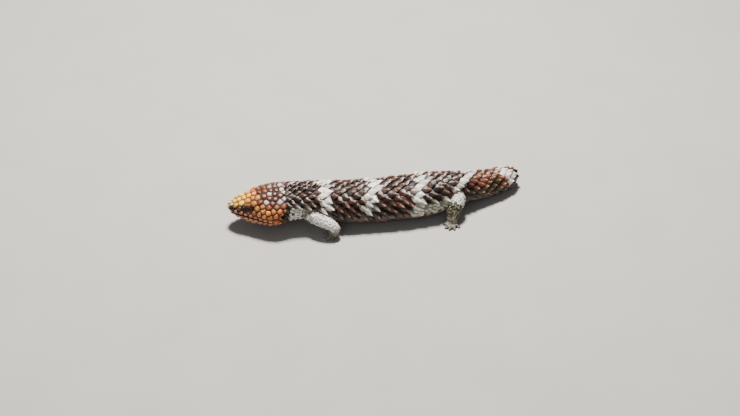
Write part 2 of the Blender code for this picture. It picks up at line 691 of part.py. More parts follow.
def main():
    clear_scene()
    animal = new_collection("shingleback_skink")
    horn = material("orange_horn", ORANGE_HORN)
    eye_look = material("eye_brown", EYE_BROWN)
    scutes = material("brown_horn", BROWN_HORN)
    pale = material("cream_skin", CREAM_SKIN)
    olive = material("olive_skin", OLIVE_SKIN)
    make_head(animal, horn, eye_look)
    make_trunk("neck", NECK_SECTIONS, BODY_SIDES, HEAD_END, NECK_END, scutes, animal)
    make_trunk("torso", TORSO_SECTIONS, BODY_SIDES, NECK_END, TORSO_END, scutes, animal)
    make_trunk("tail", TAIL_SECTIONS, TAIL_SIDES, TORSO_END, BODY_LENGTH, scutes, animal)
    for leg, foot, at, side, path, sole in LEGS:
        look = pale if "fore" in leg else olive
        make_leg(leg, at, side, path, look, animal)
        make_foot(foot, at, side, path, sole, look, animal)


main()
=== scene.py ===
import math

import bmesh
import bpy
import numpy as np
from mathutils import Matrix, Vector
from mathutils.bvhtree import BVHTree
from mathutils.kdtree import KDTree


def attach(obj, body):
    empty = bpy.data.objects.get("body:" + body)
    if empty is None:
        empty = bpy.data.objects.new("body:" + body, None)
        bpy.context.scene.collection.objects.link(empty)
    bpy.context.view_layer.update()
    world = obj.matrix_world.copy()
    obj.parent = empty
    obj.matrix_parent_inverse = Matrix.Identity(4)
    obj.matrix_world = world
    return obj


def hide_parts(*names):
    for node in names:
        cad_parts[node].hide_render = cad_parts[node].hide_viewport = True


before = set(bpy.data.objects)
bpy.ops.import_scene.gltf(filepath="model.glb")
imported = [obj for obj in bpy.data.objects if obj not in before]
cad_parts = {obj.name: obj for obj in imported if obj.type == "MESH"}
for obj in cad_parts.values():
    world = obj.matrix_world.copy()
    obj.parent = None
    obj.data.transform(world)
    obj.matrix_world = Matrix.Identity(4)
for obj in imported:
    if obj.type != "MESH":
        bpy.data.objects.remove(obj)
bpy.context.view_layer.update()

MM = 0.001

# The hide. One soft skin runs from the snout over body, legs and tail, and every plate of horn
# grows on it. It is lofted through the body's sections, joined with the limbs and fused to one
# sheet, and its colour is darkened between the plates as painted shade.
BODY_LENGTH = 344.0 * MM  # snout to tail tip, along the back
MIDDLE = (-0.8 * MM, 14.9 * MM)  # the middle of the back line, off the middle of the outline
# Distance along the back, half width, top and underside of the body under its plates, in mm.
GIRTH = (
    (0, 2.3, 27.8, 23.6), (3, 6.4, 30.0, 19.6), (9, 10.8, 32.6, 15.8), (20, 16.0, 36.8, 11.2),
    (34, 21.4, 42.6, 8.6), (48, 25.4, 45.0, 7.6), (60, 26.0, 45.2, 9.4), (72, 23.2, 46.0, 11.4),
    (86, 22.0, 46.2, 9.8), (104, 23.2, 45.4, 6.4), (125, 24.2, 43.6, 3.2), (155, 25.0, 42.4, -0.1),
    (190, 25.6, 42.4, -0.5), (222, 25.7, 42.4, -0.6), (244, 22.2, 41.6, 1.4), (260, 18.2, 39.8, 3.0),
    (275, 16.0, 36.6, 2.4), (292, 15.0, 31.8, 0.3), (310, 14.1, 28.6, -0.5), (324, 12.5, 26.2, -0.4),
    (335, 9.0, 22.8, 0.8), (341, 5.2, 18.2, 4.0), (344, 1.6, 13.5, 8.7),
)
# Distance along the back in mm, and the heading of the back there in degrees.
HEADING = (
    (0, -10), (60, -8), (130, -6), (180, -3.5), (225, 0), (262, 9), (290, 13), (320, 17.5), (344, 28),
)
# Distance in mm, roundness of back and belly (2 is an ellipse), and the share of the height at
# which the body is widest.
SECTION = (
    (0, 2.2, 2.2, 0.48), (30, 2.3, 2.4, 0.40), (60, 2.2, 2.2, 0.42), (95, 2.1, 2.1, 0.45),
    (160, 2.1, 2.3, 0.44), (235, 2.1, 2.2, 0.44), (290, 2.0, 2.1, 0.46), (344, 2.0, 2.0, 0.50),
)
# Swellings of the head: distance in mm, turn in degrees, reach along, spread round, height in mm.
SWELLS = (
    (24, 38, 9, 13, 1.2),  # brow over the eye
    (24, 59, 7, 12, -1.3),  # hollow that holds the eye
    (52, 84, 14, 26, 1.8),  # jaw muscle
    (13, 0, 8, 40, -0.6),  # dip of the snout between nostrils and brow
)
MOUTH = ((-12, 20.6), (0, 21.2), (14, 22.6), (25, 21.9), (38, 20.0), (50, 19.4))  # distance, height
MOUTH_CORNER = 48.0
EYE_AT, EYE_TURN, EYE_RADIUS, EYE_DEPTH = 23.0 * MM, math.radians(57), 3.9 * MM, 2.6 * MM
NOSTRIL_AT, NOSTRIL_TURN = 5.5 * MM, math.radians(62)
EAR_AT, EAR_TURN = 61.5 * MM, math.radians(84)
PITS = ((NOSTRIL_AT, NOSTRIL_TURN, 0.9, 1.3), (EAR_AT, EAR_TURN, 2.3, 2.4))  # radius, depth in mm
SHOULDER_AT, HIP_AT = 89.0 * MM, 252.0 * MM
# Each limb: its root along the back and its side (1 is left). Then in mm, rearward and outward of
# that root: its centre line with height and half thickness, the middle of its sole, and the tips
# of its toes from the first (inner) to the fifth.
LIMBS = (
    (
        SHOULDER_AT, 1,
        ((1, 16, 22.5, 8.2), (6, 22, 22, 7.7), (15.5, 28.5, 20, 6.8), (24.5, 32.5, 16.8, 6.0),
         (29.5, 34, 12, 5.1)),
        ((27, 31.5), ((20.6, 25.0), (17.8, 28.8), (17.4, 33.6), (20.2, 37.4), (26, 38.8))),
    ),
    (
        SHOULDER_AT, -1,
        ((0, 16, 22, 8.0), (-4, 24, 21, 8.0), (-11, 33, 17.5, 7.0), (-18, 37.5, 12, 6.0),
         (-22, 39, 8.5, 5.2)),
        ((-25.5, 40), ((-30.8, 33.6), (-34.1, 38.8), (-33.9, 44.3), (-29.8, 48.4), (-22.5, 48.4))),
    ),
    (
        HIP_AT, 1,
        ((3, 12, 22, 9.8), (1, 20, 21, 9.6), (-4, 26, 16, 8.2), (-7.5, 31, 10, 6.8),
         (-8.5, 33, 7.6, 6.0)),
        ((-10, 35), ((-17, 33), (-18, 38), (-15.5, 42.3), (-10.5, 43.8), (-4.6, 41.5))),
    ),
    (
        HIP_AT, -1,
        ((1, 12, 21, 9.2), (5, 20, 19.5, 9.0), (12, 27.5, 15, 7.6), (20, 31, 9.5, 6.2),
         (23.5, 32, 7.2, 5.6)),
        ((25.5, 34.5), ((17.5, 32.3), (17.3, 38.3), (19.9, 42.9), (25.3, 44.7), (32.1, 42.9))),
    ),
)
SOLE_RADII, SOLE_HEIGHT = (5.4 * MM, 5.4 * MM, 3.6 * MM), 3.4 * MM
TOE_RADIUS, TOE_TIP_HEIGHT = 1.75 * MM, 1.3 * MM
TRUNK_SIDES = 110
HIDE_MESH = 0.9 * MM  # spacing of the fused sheet


def smooth(table, at):
    """A table's columns at values of its first one, along one smooth curve through its rows."""
    rows = np.array(table, float)
    x, y = rows[:, 0], rows[:, 1:]
    slope = np.gradient(y, x, axis=0)
    at = np.clip(np.asarray(at, float), x[0], x[-1])
    i = np.clip(np.searchsorted(x, at) - 1, 0, len(x) - 2)
    step = x[i + 1] - x[i]
    t = ((at - x[i]) / step)[..., None]
    step = step[..., None]
    low = (2 * t**3 - 3 * t**2 + 1) * y[i] + (t**3 - 2 * t**2 + t) * step * slope[i]
    return low + (3 * t**2 - 2 * t**3) * y[i + 1] + (t**3 - t**2) * step * slope[i + 1]


def reads(table, at):
    """A small table's value, by its first column."""
    rows = np.array(table, float)
    return np.interp(at, rows[:, 0], rows[:, 1])


def ramp(low, high, value):
    """0 at low, 1 at high and a soft change between."""
    share = np.clip((value - low) / (high - low), 0, 1)
    return share * share * (3 - 2 * share)


def unit(ways, least=0.0):
    """Directions brought to length 1."""
    return ways / (np.linalg.norm(ways, axis=-1, keepdims=True) + least)


def back_line():
    """Points along the back on the ground with its heading, the way from end to end along X."""
    along = np.linspace(0, BODY_LENGTH, 689)
    heading = np.radians(smooth(HEADING, along / MM)[:, 0])
    steps = np.stack([np.cos(heading), np.sin(heading)], -1) * (along[1] - along[0])
    line = np.vstack([[0, 0], np.cumsum((steps[1:] + steps[:-1]) / 2, axis=0)])
    line -= (line[0] + line[-1]) / 2
    turn = -math.atan2(line[-1, 1] - line[0, 1], line[-1, 0] - line[0, 0])
    c, s = math.cos(turn), math.sin(turn)
    return along, line @ np.array([[c, s], [-s, c]]) + np.array(MIDDLE), heading + turn


BACK_ALONG, BACK_LINE, BACK_HEADING = back_line()


def spine(at):
    """The point on the ground under the back at distances along it, and the heading there."""
    place = np.stack([np.interp(at, BACK_ALONG, BACK_LINE[:, k]) for k in (0, 1)], -1)
    return place, np.interp(at, BACK_ALONG, BACK_HEADING)


def beside(at, rear, out, up):
    """A point rearward of, leftward of and above the back line at a distance along it."""
    place, heading = spine(at)
    c, s = math.cos(heading), math.sin(heading)
    return Vector((place[0] + rear * c + out * s, place[1] + rear * s - out * c, up))


def section(at):
    """Half width, middle height, rises above and below it and the two roundnesses of the body."""
    half, top, under = np.moveaxis(smooth(GIRTH, at / MM), -1, 0) * MM
    upper, lower, widest = np.moveaxis(smooth(SECTION, at / MM), -1, 0)
    middle = under + (top - under) * widest
    return half, middle, top - middle, middle - under, upper, lower


def bare_skin(at, turn):
    """Points of the skin without swellings. Turn 0 is the middle of the back, + is the left side."""
    at, turn = np.broadcast_arrays(np.asarray(at, float), np.asarray(turn, float))
    half, middle, above, below, upper, lower = section(at)
    across, up = np.sin(turn), np.cos(turn)
    power = 2 / np.where(up > 0, upper, lower)
    side = half * np.sign(across) * np.abs(across) ** power
    rise = np.where(up > 0, above, below) * np.sign(up) * np.abs(up) ** power
    place, heading = spine(at)
    x, y = place[..., 0] + side * np.sin(heading), place[..., 1] - side * np.cos(heading)
    return np.stack([x, y, middle + rise], -1)


def outward(surface, at, turn):
    """The direction straight out of a surface that is given by distance and turn."""
    nudge, tip = 0.4 * MM, 0.03
    along = surface(at + nudge, turn) - surface(at - nudge, turn)
    around = surface(at, turn + tip) - surface(at, turn - tip)
    return unit(np.cross(around, along), 1e-12)


def skin(at, turn):
    """Points of the skin, with the swellings of the head."""
    at, turn = np.broadcast_arrays(np.asarray(at, float), np.asarray(turn, float))
    height = np.zeros(at.shape)
    for place, angle, reach, spread, rise in SWELLS:
        for side in (1, -1) if angle else (1,):
            far = (at - place * MM) / (reach * MM)
            off = (turn - side * math.radians(angle)) / math.radians(spread)
            height += rise * MM * np.exp(-(far**2) - off**2)
    return bare_skin(at, turn) + outward(bare_skin, at, turn) * height[..., None]


def beside_line(points, at):
    """The heading of the back at distances along it, and points' way off it, on and leftward."""
    place, heading = spine(at)
    off = points[:, :2] - place
    on = off[:, 0] * np.cos(heading) + off[:, 1] * np.sin(heading)
    return heading, on, off[:, 0] * np.sin(heading) - off[:, 1] * np.cos(heading)


def body_place(points):
    """For points on or near the hide: distance along the back, turn round it, and how far out of
    the trunk they lie, as a share of the trunk's own size."""
    at = np.interp(points[:, 0], BACK_LINE[:, 0], BACK_ALONG)
    for _ in range(5):
        at = np.clip(at + beside_line(points, at)[1], 0, BODY_LENGTH)
    side = beside_line(points, at)[2]
    half, middle, above, below, upper, lower = section(at)
    rise = points[:, 2] - middle
    power = np.where(rise > 0, upper, lower) / 2
    across = np.abs(side / half) ** power
    up = np.abs(rise / np.where(rise > 0, above, below)) ** power
    turn = np.arctan2(np.sign(side) * across, np.sign(rise) * up)
    return at, turn, np.hypot(across, up)


def linked(name, data):
    """An object of the scene that shows a mesh, a light or a camera."""
    made = bpy.data.objects.new(name, data)
    bpy.context.scene.collection.objects.link(made)
    return made


def evaluated(thing):
    """The mesh that an object's modifiers make of it, in place of the object."""
    graph = bpy.context.evaluated_depsgraph_get()
    made = bpy.data.meshes.new_from_object(thing.evaluated_get(graph))
    bpy.data.objects.remove(thing, do_unlink=True)
    return made


def shell_mesh(shell, name, lofted=True):
    """A shell's mesh, the faces of lofts turned outward."""
    if lofted:
        bmesh.ops.recalc_face_normals(shell, faces=shell.faces)
    data = bpy.data.meshes.new(name)
    shell.to_mesh(data)
    shell.free()
    return data


def add_loft(shell, rings, hoop=False):
    """Adds a body through rings of points that match, closed at its ends or round to a hoop."""
    corners = [[shell.verts.new(p) for p in ring] for ring in rings]
    if hoop:
        corners.append(corners[0])
    else:
        shell.faces.new(corners[0])
        shell.faces.new(corners[-1][::-1])
    for low, high in zip(corners, corners[1:]):
        for k in range(len(low)):
            shell.faces.new((low[k - 1], low[k], high[k], high[k - 1]))


def smooth_path(points, steps):
    """Evenly spaced rows along a smooth line through points with radii."""
    points = np.array(points, float)
    run = np.append(0, np.linalg.norm(np.diff(points[:, :3], axis=0), axis=1).cumsum())
    return smooth(np.column_stack([run, points]), np.linspace(0, run[-1], steps))


def limb_rings(rows, sides=18):
    """Rings round a path whose rows carry radii, rounded off at both ends."""
    rows = np.array(rows, float)
    way = unit(np.gradient(rows[:, :3], axis=0))
    ends = []
    for row, ahead in ((rows[0], -way[0]), (rows[-1], way[-1])):
        bends = np.radians((82, 56, 28))
        ends.append([(*(row[:3] + ahead * row[3] * math.sin(b)), row[3] * math.cos(b)) for b in bends])
    rows = np.vstack([ends[0], rows, ends[1][::-1]])
    way = np.vstack([way[:1]] * 3 + [way] + [way[-1:]] * 3)
    angles = np.linspace(0, 2 * math.pi, sides, endpoint=False)
    rings = []
    for row, ahead in zip(rows, way):
        level = unit(np.cross(ahead, (0, 0, 1) if abs(ahead[2]) < 0.95 else (1, 0, 0)))
        round_it = np.outer(np.cos(angles), level) + np.outer(np.sin(angles), np.cross(level, ahead))
        rings.append(row[:3] + row[3] * round_it)
    return rings


def leg_rows(at, side, path):
    """Evenly spaced rows down a leg's centre line."""
    return smooth_path([(*beside(at, r * MM, side * o * MM, u * MM), w * MM) for r, o, u, w in path], 12)


def toe_tips(at, side, foot):
    """The middle of a sole and the tips of its toes."""
    (rear, out), toes = foot
    sole = beside(at, rear * MM, side * out * MM, SOLE_HEIGHT)
    return sole, [beside(at, r * MM, side * o * MM, TOE_TIP_HEIGHT) for r, o in toes]


def add_limb(shell, at, side, path, foot):
    """A leg with its foot and five short toes."""
    leg = leg_rows(at, side, path)
    add_loft(shell, limb_rings(leg))
    sole, tips = toe_tips(at, side, foot)
    heel = np.array((*sole, SOLE_HEIGHT * 1.25))
    bend = (leg[-1] + heel) / 2 + (0, 0, 0, 0.3 * MM)
    add_loft(shell, limb_rings(smooth_path([leg[-1], bend, heel], 6)))
    squash = Matrix.Translation(sole) @ Matrix.Diagonal((*SOLE_RADII, 1.0))
    bmesh.ops.create_uvsphere(shell, u_segments=24, v_segments=14, radius=1.0, matrix=squash)
    for tip in tips:
        knuckle = sole.lerp(tip, 0.62) + Vector((0, 0, 0.8 * MM))
        rows = [(*sole, TOE_RADIUS), (*knuckle, TOE_RADIUS * 1.05), (*tip, TOE_RADIUS * 0.85)]
        add_loft(shell, limb_rings(smooth_path(rows, 7), 12))


def fused_hide():
    """Trunk and limbs as one sheet of small faces, eased where they join."""
    shell = bmesh.new()
    runs = (np.linspace(0, 8, 9), np.linspace(9.5, 334, 210), np.linspace(335, 344, 12))
    turns = (np.arange(TRUNK_SIDES) + 0.5) * 2 * math.pi / TRUNK_SIDES - math.pi
    add_loft(shell, [skin(np.full(TRUNK_SIDES, at * MM), turns) for at in np.concatenate(runs)])
    for limb in LIMBS:
        add_limb(shell, *limb)
    cage = linked("cage", shell_mesh(shell, "cage"))
    fuse = cage.modifiers.new("fuse", "REMESH")
    fuse.mode, fuse.voxel_size = "VOXEL", HIDE_MESH
    ease = cage.modifiers.new("ease", "SMOOTH")
    ease.factor, ease.iterations = 0.5, 7
    return evaluated(cage)


def read_points(mesh, what="co", collection="vertices"):
    """The places of a mesh's corners, or its directions out there."""
    items = getattr(mesh, collection)
    values = np.empty(len(items) * 3, np.float32)
    items.foreach_get(what, values)
    return values.reshape(-1, 3).astype(float)


def write_points(mesh, points):
    """Moves a mesh's corners to points, none of them under the ground."""
    points[:, 2] = np.maximum(points[:, 2], 0)
    mesh.vertices.foreach_set("co", points.astype(np.float32).ravel())
    mesh.update()


def relief(points):
    """How far the hide is sunk at the line of the mouth, the nostrils, the ears and its folds."""
    at, turn, _ = body_place(points)
    at, side = at / MM, np.degrees(np.abs(turn))
    line = smooth(MOUTH, at)[:, 0] * MM
    near = np.exp(-(((points[:, 2] - line) / (0.7 * MM)) ** 2))
    depth = -1.3 * MM * (near * ramp(MOUTH_CORNER + 2, MOUTH_CORNER - 2, at)) * ramp(60, 80, side)
    for sign in (1, -1):
        for place, angle, reach, sunk in PITS:
            far = np.linalg.norm(points - skin(place, sign * angle), axis=1) / (reach * MM)
            depth -= sunk * MM * np.exp(-(far**4))
    neck = ramp(64, 69, at) * ramp(104, 86, at) * ramp(55, 75, side)
    return depth - neck * 0.5 * MM * (1 + np.sin(at * 1.15 + side * 0.05))


hide_mesh = fused_hide()
hide_points = read_points(hide_mesh)
hide_points += read_points(hide_mesh, "vector", "vertex_normals") * relief(hide_points)[:, None]
write_points(hide_mesh, hide_points)
hide_tree = BVHTree.FromPolygons(hide_points.tolist(), [tuple(p.vertices) for p in hide_mesh.polygons])

# The markings. Hide and plates share them: an orange head with a yellow snout, a chocolate back
# with chestnut plates, five broken cream bands, an orange-brown tail and a greyish underside,
# darkened as painted shade, with painted shade also in the fold behind the jaw.
BAND_TURNS = (-80, -50, -25, 0, 20, 40, 60, 80)  # turns in degrees at which a band's places are given
CREAM_BANDS = (  # distances in mm at those turns, half width, and the turn at which the band ends
    ((112, 111, 109, 111, 114, 112, 114, 112), 5.4, 82),
    ((157, 161, 167, 168, 165, 162, 159, 156), 6.4, 88),
    ((209, 214, 224, 222, 218, 215, 213, 210), 5.4, 95),
    ((259, 268, 281, 278, 270, 262, 258, 254), 6.8, 56),
    ((332, 328, 322, 322, 325, 329, 331, 333), 7.2, 80),
)
NAPE_SPOTS = ((67, 30, 3.6), (62, -4, 3.0), (76, -30, 3.4), (72, 14, 2.0))  # distance, turn, size
CHESTNUT_SHARE = (  # distance in mm, and how much chestnut the back shows there
    (66, 0.15), (85, 0.4), (100, 0.7), (135, 1.0), (158, 0.5), (175, 0.25), (192, 1.0), (208, 0.7),
    (235, 1.0), (262, 0.4),
)
# Distance, turn and half width of the dark streak that runs through nostril and eye.
STREAK = ((3.0, 60, 2.4), (9, 58, 3.6), (15, 57, 4.4), (21, 57, 4.6), (27, 60, 4.0), (35, 66, 1.8))
# Distance in mm, and the turn at which the underside begins; turn, and the distance at which the
# painted shade in the fold behind the head begins.
UNDERSIDE_FROM = ((66, 62), (100, 74), (110, 88), (250, 92), (290, 98), (344, 104))
FOLD_SHADE_FROM = ((45, 67), (60, 65.5), (80, 61.5), (100, 59))
YELLOW, SNOUT_TIP, ORANGE, PEACH = "#efae3a", "#f0dcae", "#b95a22", "#d08444"
CROWN, LILAC, FLECK = "#40221a", "#6f5b5f", "#dccac8"
CHOCOLATE, CHESTNUT, ROSE_BROWN, CREAM = "#25140d", "#643828", "#68504a", "#f6f1e6"
TAIL_BROWN, TAIL_OLIVE = "#7c432c", "#553f25"
# The belly's colour is darkened as painted shade under the body.
# The near-black colour serves real dark marks and the painted shade in the fold behind the jaw.
SHADED_BELLY, LOW_FLANK, DARK_MARK_AND_SHADE, LIP, JAW = "#66564f", "#c9c8b4", "#1e0b06", "#a8705e", "#d6967a"
FORELEG, THIGH, SHANK, LEG_DARK = "#f8f5ee", "#f4efe2", "#6f6a4c", "#15120c"
NECK_SIDE, SHOULDER_SIDE, FOOT = "#f8f3e8", "#b0a79a", "#8d8577"
LIMB_STEPS = 40
SHOULDER_REACH = 13 * MM  # how far from a foreleg's middle line its skin can come close to the head


def colour(code):
    """An sRGB hex colour as linear red, green and blue."""
    parts = np.array([int(code[k:k + 2], 16) for k in (1, 3, 5)]) / 255
    return np.where(parts <= 0.04045, parts / 12.92, ((parts + 0.055) / 1.055) ** 2.4)


def blend(found, *layers):
    """Lays colours over one another, each by its share at each point."""
    found = colour(found) if isinstance(found, str) else found
    for tint, share in layers:
        tint = colour(tint) if isinstance(tint, str) else tint
        found = found + (tint - found) * np.asarray(share)[:, None]
    return found


def limb_place(points):
    """For points near the limbs: which limb, the share along it, the angle round it, its way, and
    how far off its middle they lie."""
    best = np.full(len(points), np.inf)
    found = [np.zeros(len(points)) for _ in range(3)] + [np.zeros((len(points), 3))]
    for index, (at, side, path, foot) in enumerate(LIMBS):
        sole, tips = toe_tips(at, side, foot)
        end = np.array(sum(tips, Vector()) / len(tips))
        line = smooth_path(np.vstack([leg_rows(at, side, path)[:, :3], sole, end]), LIMB_STEPS)
        far = np.linalg.norm(points[:, None] - line[None], axis=2)
        near = far.argmin(axis=1)
        closer = far.min(axis=1) < best
        best = np.minimum(best, far.min(axis=1))
        off, way = points - line[near], unit(np.gradient(line, axis=0))[near]
        level = np.cross(way, (0, 0, 1))
        angle = np.arctan2((off * level).sum(1), (off * np.cross(level, way)).sum(1))
        for store, value in zip(found, (index, near / (LIMB_STEPS - 1), angle, way)):
            store[closer] = value[closer] if np.ndim(value) else value
    return (*found, best)


def in_streak(points):
    """1 on the dark streak that runs through nostril and eye, 0 beside it."""
    steps = np.linspace(0, len(STREAK) - 1, 40)
    at, turn, half = smooth([(k, *row) for k, row in enumerate(STREAK)], steps).T
    line = np.vstack([skin(at * MM, np.radians(turn)), skin(at * MM, -np.radians(turn))])
    far = np.linalg.norm(points[:, None] - line[None], axis=2) / (np.tile(half, 2) * MM)
    return ramp(1.15, 0.8, far.min(axis=1))


def back_colours(at, turn, draw):
    """Scutes of back and tail: chocolate, chestnut and rose-brown ones, and ragged cream bands."""
    side, stray = np.abs(turn), draw[:, 0] - 0.5
    # Chestnut keeps off the top of the back, and greyer rose-brown lies most on it: partly the scutes' own
    # colours and partly a painted reflection of the sky.
    warm = reads(CHESTNUT_SHARE, at) * ramp(-15, 30, side)
    tail = blend(TAIL_OLIVE, (TAIL_BROWN, ramp(0.0, 0.6, draw[:, 1])))
    row = ramp(66, 74, side) * ramp(200, 206, at) * ramp(254, 246, at)
    found = blend(
        CHOCOLATE,
        (CHESTNUT, warm * ramp(0.0, 0.8, draw[:, 1])),
        (ROSE_BROWN, (1 - 0.75 * warm) * ramp(0.35, 1.0, draw[:, 3]) * ramp(80, 35, side) * 0.75),
        (tail, ramp(268, 282, at + stray * 8) * ramp(100, 75, side)),
        (DARK_MARK_AND_SHADE, ramp(334, 339, at) * 0.85),
        (LOW_FLANK, row * (draw[:, 2] < 0.9) * 0.9),
    )
    for places, half, end in CREAM_BANDS:
        off = np.abs(at - np.interp(turn, BAND_TURNS, places)) + stray * 4
        white = ramp(half + 1, half - 1, off) * ramp(end + 4, end - 4, side) * (draw[:, 2] > 0.07)
        found = blend(found, (CREAM, white * (0.75 + 0.25 * draw[:, 3])))
    for place, angle, size in NAPE_SPOTS:
        far = np.hypot(at - place, (turn - angle) * 0.42) + stray * 3
        found = blend(found, (CREAM, ramp(size + 1, size - 1, far) * 0.8))
    return found


def face_colours(points, at, turn, draw):
    """Shields of the head: yellow snout, orange cheeks, brown crown with pale flecks, pink lips."""
    side, stray = np.abs(turn), draw[:, 0] - 0.5
    crown = ramp(66, 42, side)
    over = points[:, 2] / MM - smooth(MOUTH, at)[:, 0]
    ahead = ramp(MOUTH_CORNER, MOUTH_CORNER - 14, at) * ramp(60, 70, side)
    return blend(
        ORANGE,
        (PEACH, ramp(0.1, 0.9, draw[:, 1])),
        (YELLOW, ramp(31, 17, at + stray * 8) * ramp(72, 50, side)),
        (SNOUT_TIP, ramp(9, 3, at) * ramp(70, 50, side) * 0.8),
        (CROWN, ramp(27, 42, at + stray * 12) * crown * (0.6 + 0.4 * draw[:, 1])),
        (LILAC, ramp(44, 58, at) * ramp(60, 40, side) * ramp(0.2, 0.9, draw[:, 3])),
        (FLECK, ramp(38, 44, at) * crown * (draw[:, 2] > 0.74) * 0.7),
        (LIP, ramp(6.0, 4.5, over) * ramp(-1.5, 0.5, over) * ahead * 0.85),
        (JAW, ramp(0.5, -1.5, over) * ramp(60, 70, side) * 0.6),
        # The underside of the head takes the belly's colour, darkened as painted shade.
        (SHADED_BELLY, ramp(118, 140, side) * 0.9),
        (DARK_MARK_AND_SHADE, in_streak(points) * 0.92),
    )


def leg_colours(points, draw):
    """Scales of the limbs: pale forelegs, cream thighs, and olive shanks under a dark net."""
    limb, share, _, _, _ = limb_place(points)
    fore = limb < 2
    shank = ramp(0.28, 0.4, share) * ramp(0.76, 0.66, share)
    dark = (draw[:, 2] < np.where(fore, 0.04, 0.08 + 0.4 * shank)) * np.where(fore, 0.6, 0.85)
    return blend(
        THIGH,
        (SHANK, ramp(0.30, 0.42, share + (draw[:, 0] - 0.5) * 0.1)),
        (FORELEG, fore * 1.0),
        # Grey-brown feet: partly their own colour and partly painted shade.
        (FOOT, ramp(0.64, 0.72, share)),
        (LEG_DARK, dark),
    )


def on_limb(points, at, reach):
    """The share to which points belong to a limb, not to the trunk or the head."""
    near = limb_place(points)[4] < SHOULDER_REACH
    past_head = np.where(near, ramp(36, 40, at), ramp(69, 73, at))
    return ramp(1.06, 1.16, reach) * past_head * ramp(296, 290, at)


def markings(points, chance=None):
    """The colour of the hide at points, or of plates that root there when a chance is given."""
    at, turn, reach = body_place(points)
    draw = np.full((len(points), 4), 0.5) if chance is None else chance.random((len(points), 4))
    at, turn = at / MM, np.degrees(turn)
    side, low = np.abs(turn), reads(UNDERSIDE_FROM, at)
    pale = ramp(196, 206, at) * ramp(252, 242, at)
    pale = pale * ramp(low + 14, low + 4, side + (draw[:, 1] - 0.5) * 12)
    bars = ramp(0.2, 0.7, np.sin(at * 0.21 + 1.4 * np.sin(side * 0.06))) * ramp(low, low + 12, side)
    # The underside: its colour darkened as painted shade under the body, with a pale row and dark bars of
    # its own.
    belly = blend(SHADED_BELLY, (LOW_FLANK, pale), (DARK_MARK_AND_SHADE, bars * 0.55))
    grey = ramp(78, 86, at + (draw[:, 0] - 0.5) * 6)
    soft = blend(NECK_SIDE, (SHOULDER_SIDE, grey), (DARK_MARK_AND_SHADE, (draw[:, 1] < 0.06) * 1.0))
    neck = ramp(66, 70, at) * ramp(106, 98, at) * ramp(low - 2, low + 4, side) * ramp(150, 125, side)
    # A near-black crescent in the fold behind the jaw: painted shade.
    start = reads(FOLD_SHADE_FROM, side)
    fold_shade = ramp(start - 1, start + 1, at) * ramp(start + 8, start + 6, at)
    return blend(
        back_colours(at, turn, draw),
        (belly, ramp(low - 2, low + 3, side)),
        (soft, neck),
        (face_colours(points, at, turn, draw), ramp(67, 63, at)),
        (DARK_MARK_AND_SHADE, fold_shade * ramp(45, 55, side) * ramp(150, 115, side) * 0.93),
        (leg_colours(points, draw), on_limb(points, at, reach)),
    )


def hide_painted_shade(points):
    """The hide between the plates: its markings darkened as painted shade in the gaps, nearly black
    over the back and the shanks, less between pale plates, brown between the shields of the head,
    near black along the line of the mouth, and pale on the forelegs."""
    at, turn, reach = body_place(points)
    limb, share, _, _, _ = limb_place(points)
    at, side = at / MM, np.degrees(np.abs(turn))
    legs = on_limb(points, at, reach)
    head = ramp(67, 62, at) * (1 - legs)
    marks = markings(points)
    bright = ramp(0.12, 0.45, marks.mean(axis=1))
    # The share of the markings' colour that the hide keeps; the rest is painted shade between the plates.
    kept = 0.40 - (0.37 - 0.30 * bright) * ramp(118, 96, side)
    kept = kept + (0.13 - kept) * head * ramp(118, 96, side)
    shank = (limb > 1) * ramp(0.26, 0.38, share) * ramp(0.8, 0.7, share)
    kept = kept + (0.62 - 0.56 * shank - kept) * legs
    over = np.abs(points[:, 2] / MM - smooth(MOUTH, at)[:, 0])
    # The line of the mouth is darkened further: painted shade in the crease between the lips.
    mouth_shade = head * ramp(1.8, 0.9, over) * ramp(MOUTH_CORNER + 2, MOUTH_CORNER - 2, at) * ramp(60, 75, side)
    return marks * (kept * (1 - 0.9 * mouth_shade))[:, None]


def set_attribute(mesh, name, values):
    """Stores a number, a direction or a colour for each point of a mesh."""
    values = np.asarray(values, np.float32)
    kinds = {1: ("FLOAT", "value"), 3: ("FLOAT_VECTOR", "vector"), 4: ("FLOAT_COLOR", "color")}
    kind, field = kinds[1 if values.ndim == 1 else values.shape[1]]
    mesh.attributes.new(name, kind, "POINT").data.foreach_set(field, values.ravel())


def opaque(colours):
    """Colours with an alpha of 1."""
    return np.column_stack([colours, np.ones(len(colours))])


def feed(node, inputs):
    """Links each input from a socket or from a node's first one, or sets it to a value."""
    for key, value in inputs.items():
        if isinstance(value, bpy.types.Node):
            value = value.outputs[0]
        if isinstance(value, bpy.types.NodeSocket):
            node.id_data.links.new(value, node.inputs[key])
        else:
            node.inputs[key].default_value = value


def add_node(tree, kind, inputs=(), **settings):
    """Adds a node with its settings and its inputs."""
    node = tree.nodes.new(kind)
    for key, value in settings.items():
        setattr(node, key, value)
    feed(node, dict(inputs))
    return node


def scaled(tree, value, factor):
    """A node that multiplies a colour or a direction by a number."""
    return add_node(tree, "ShaderNodeVectorMath", {0: value, "Scale": factor}, operation="SCALE")


def new_finish(name, roughness, specular=0.5):
    """An empty finish with its tree, its shader with the values that are the same all over, and
    the places on the object."""
    made = bpy.data.materials.new(name)
    made.use_nodes = True
    shader = made.node_tree.nodes["Principled BSDF"]
    feed(shader, {"Roughness": roughness, "Specular IOR Level": specular})
    place = add_node(made.node_tree, "ShaderNodeTexCoord").outputs["Object"]
    return made, made.node_tree, shader, place


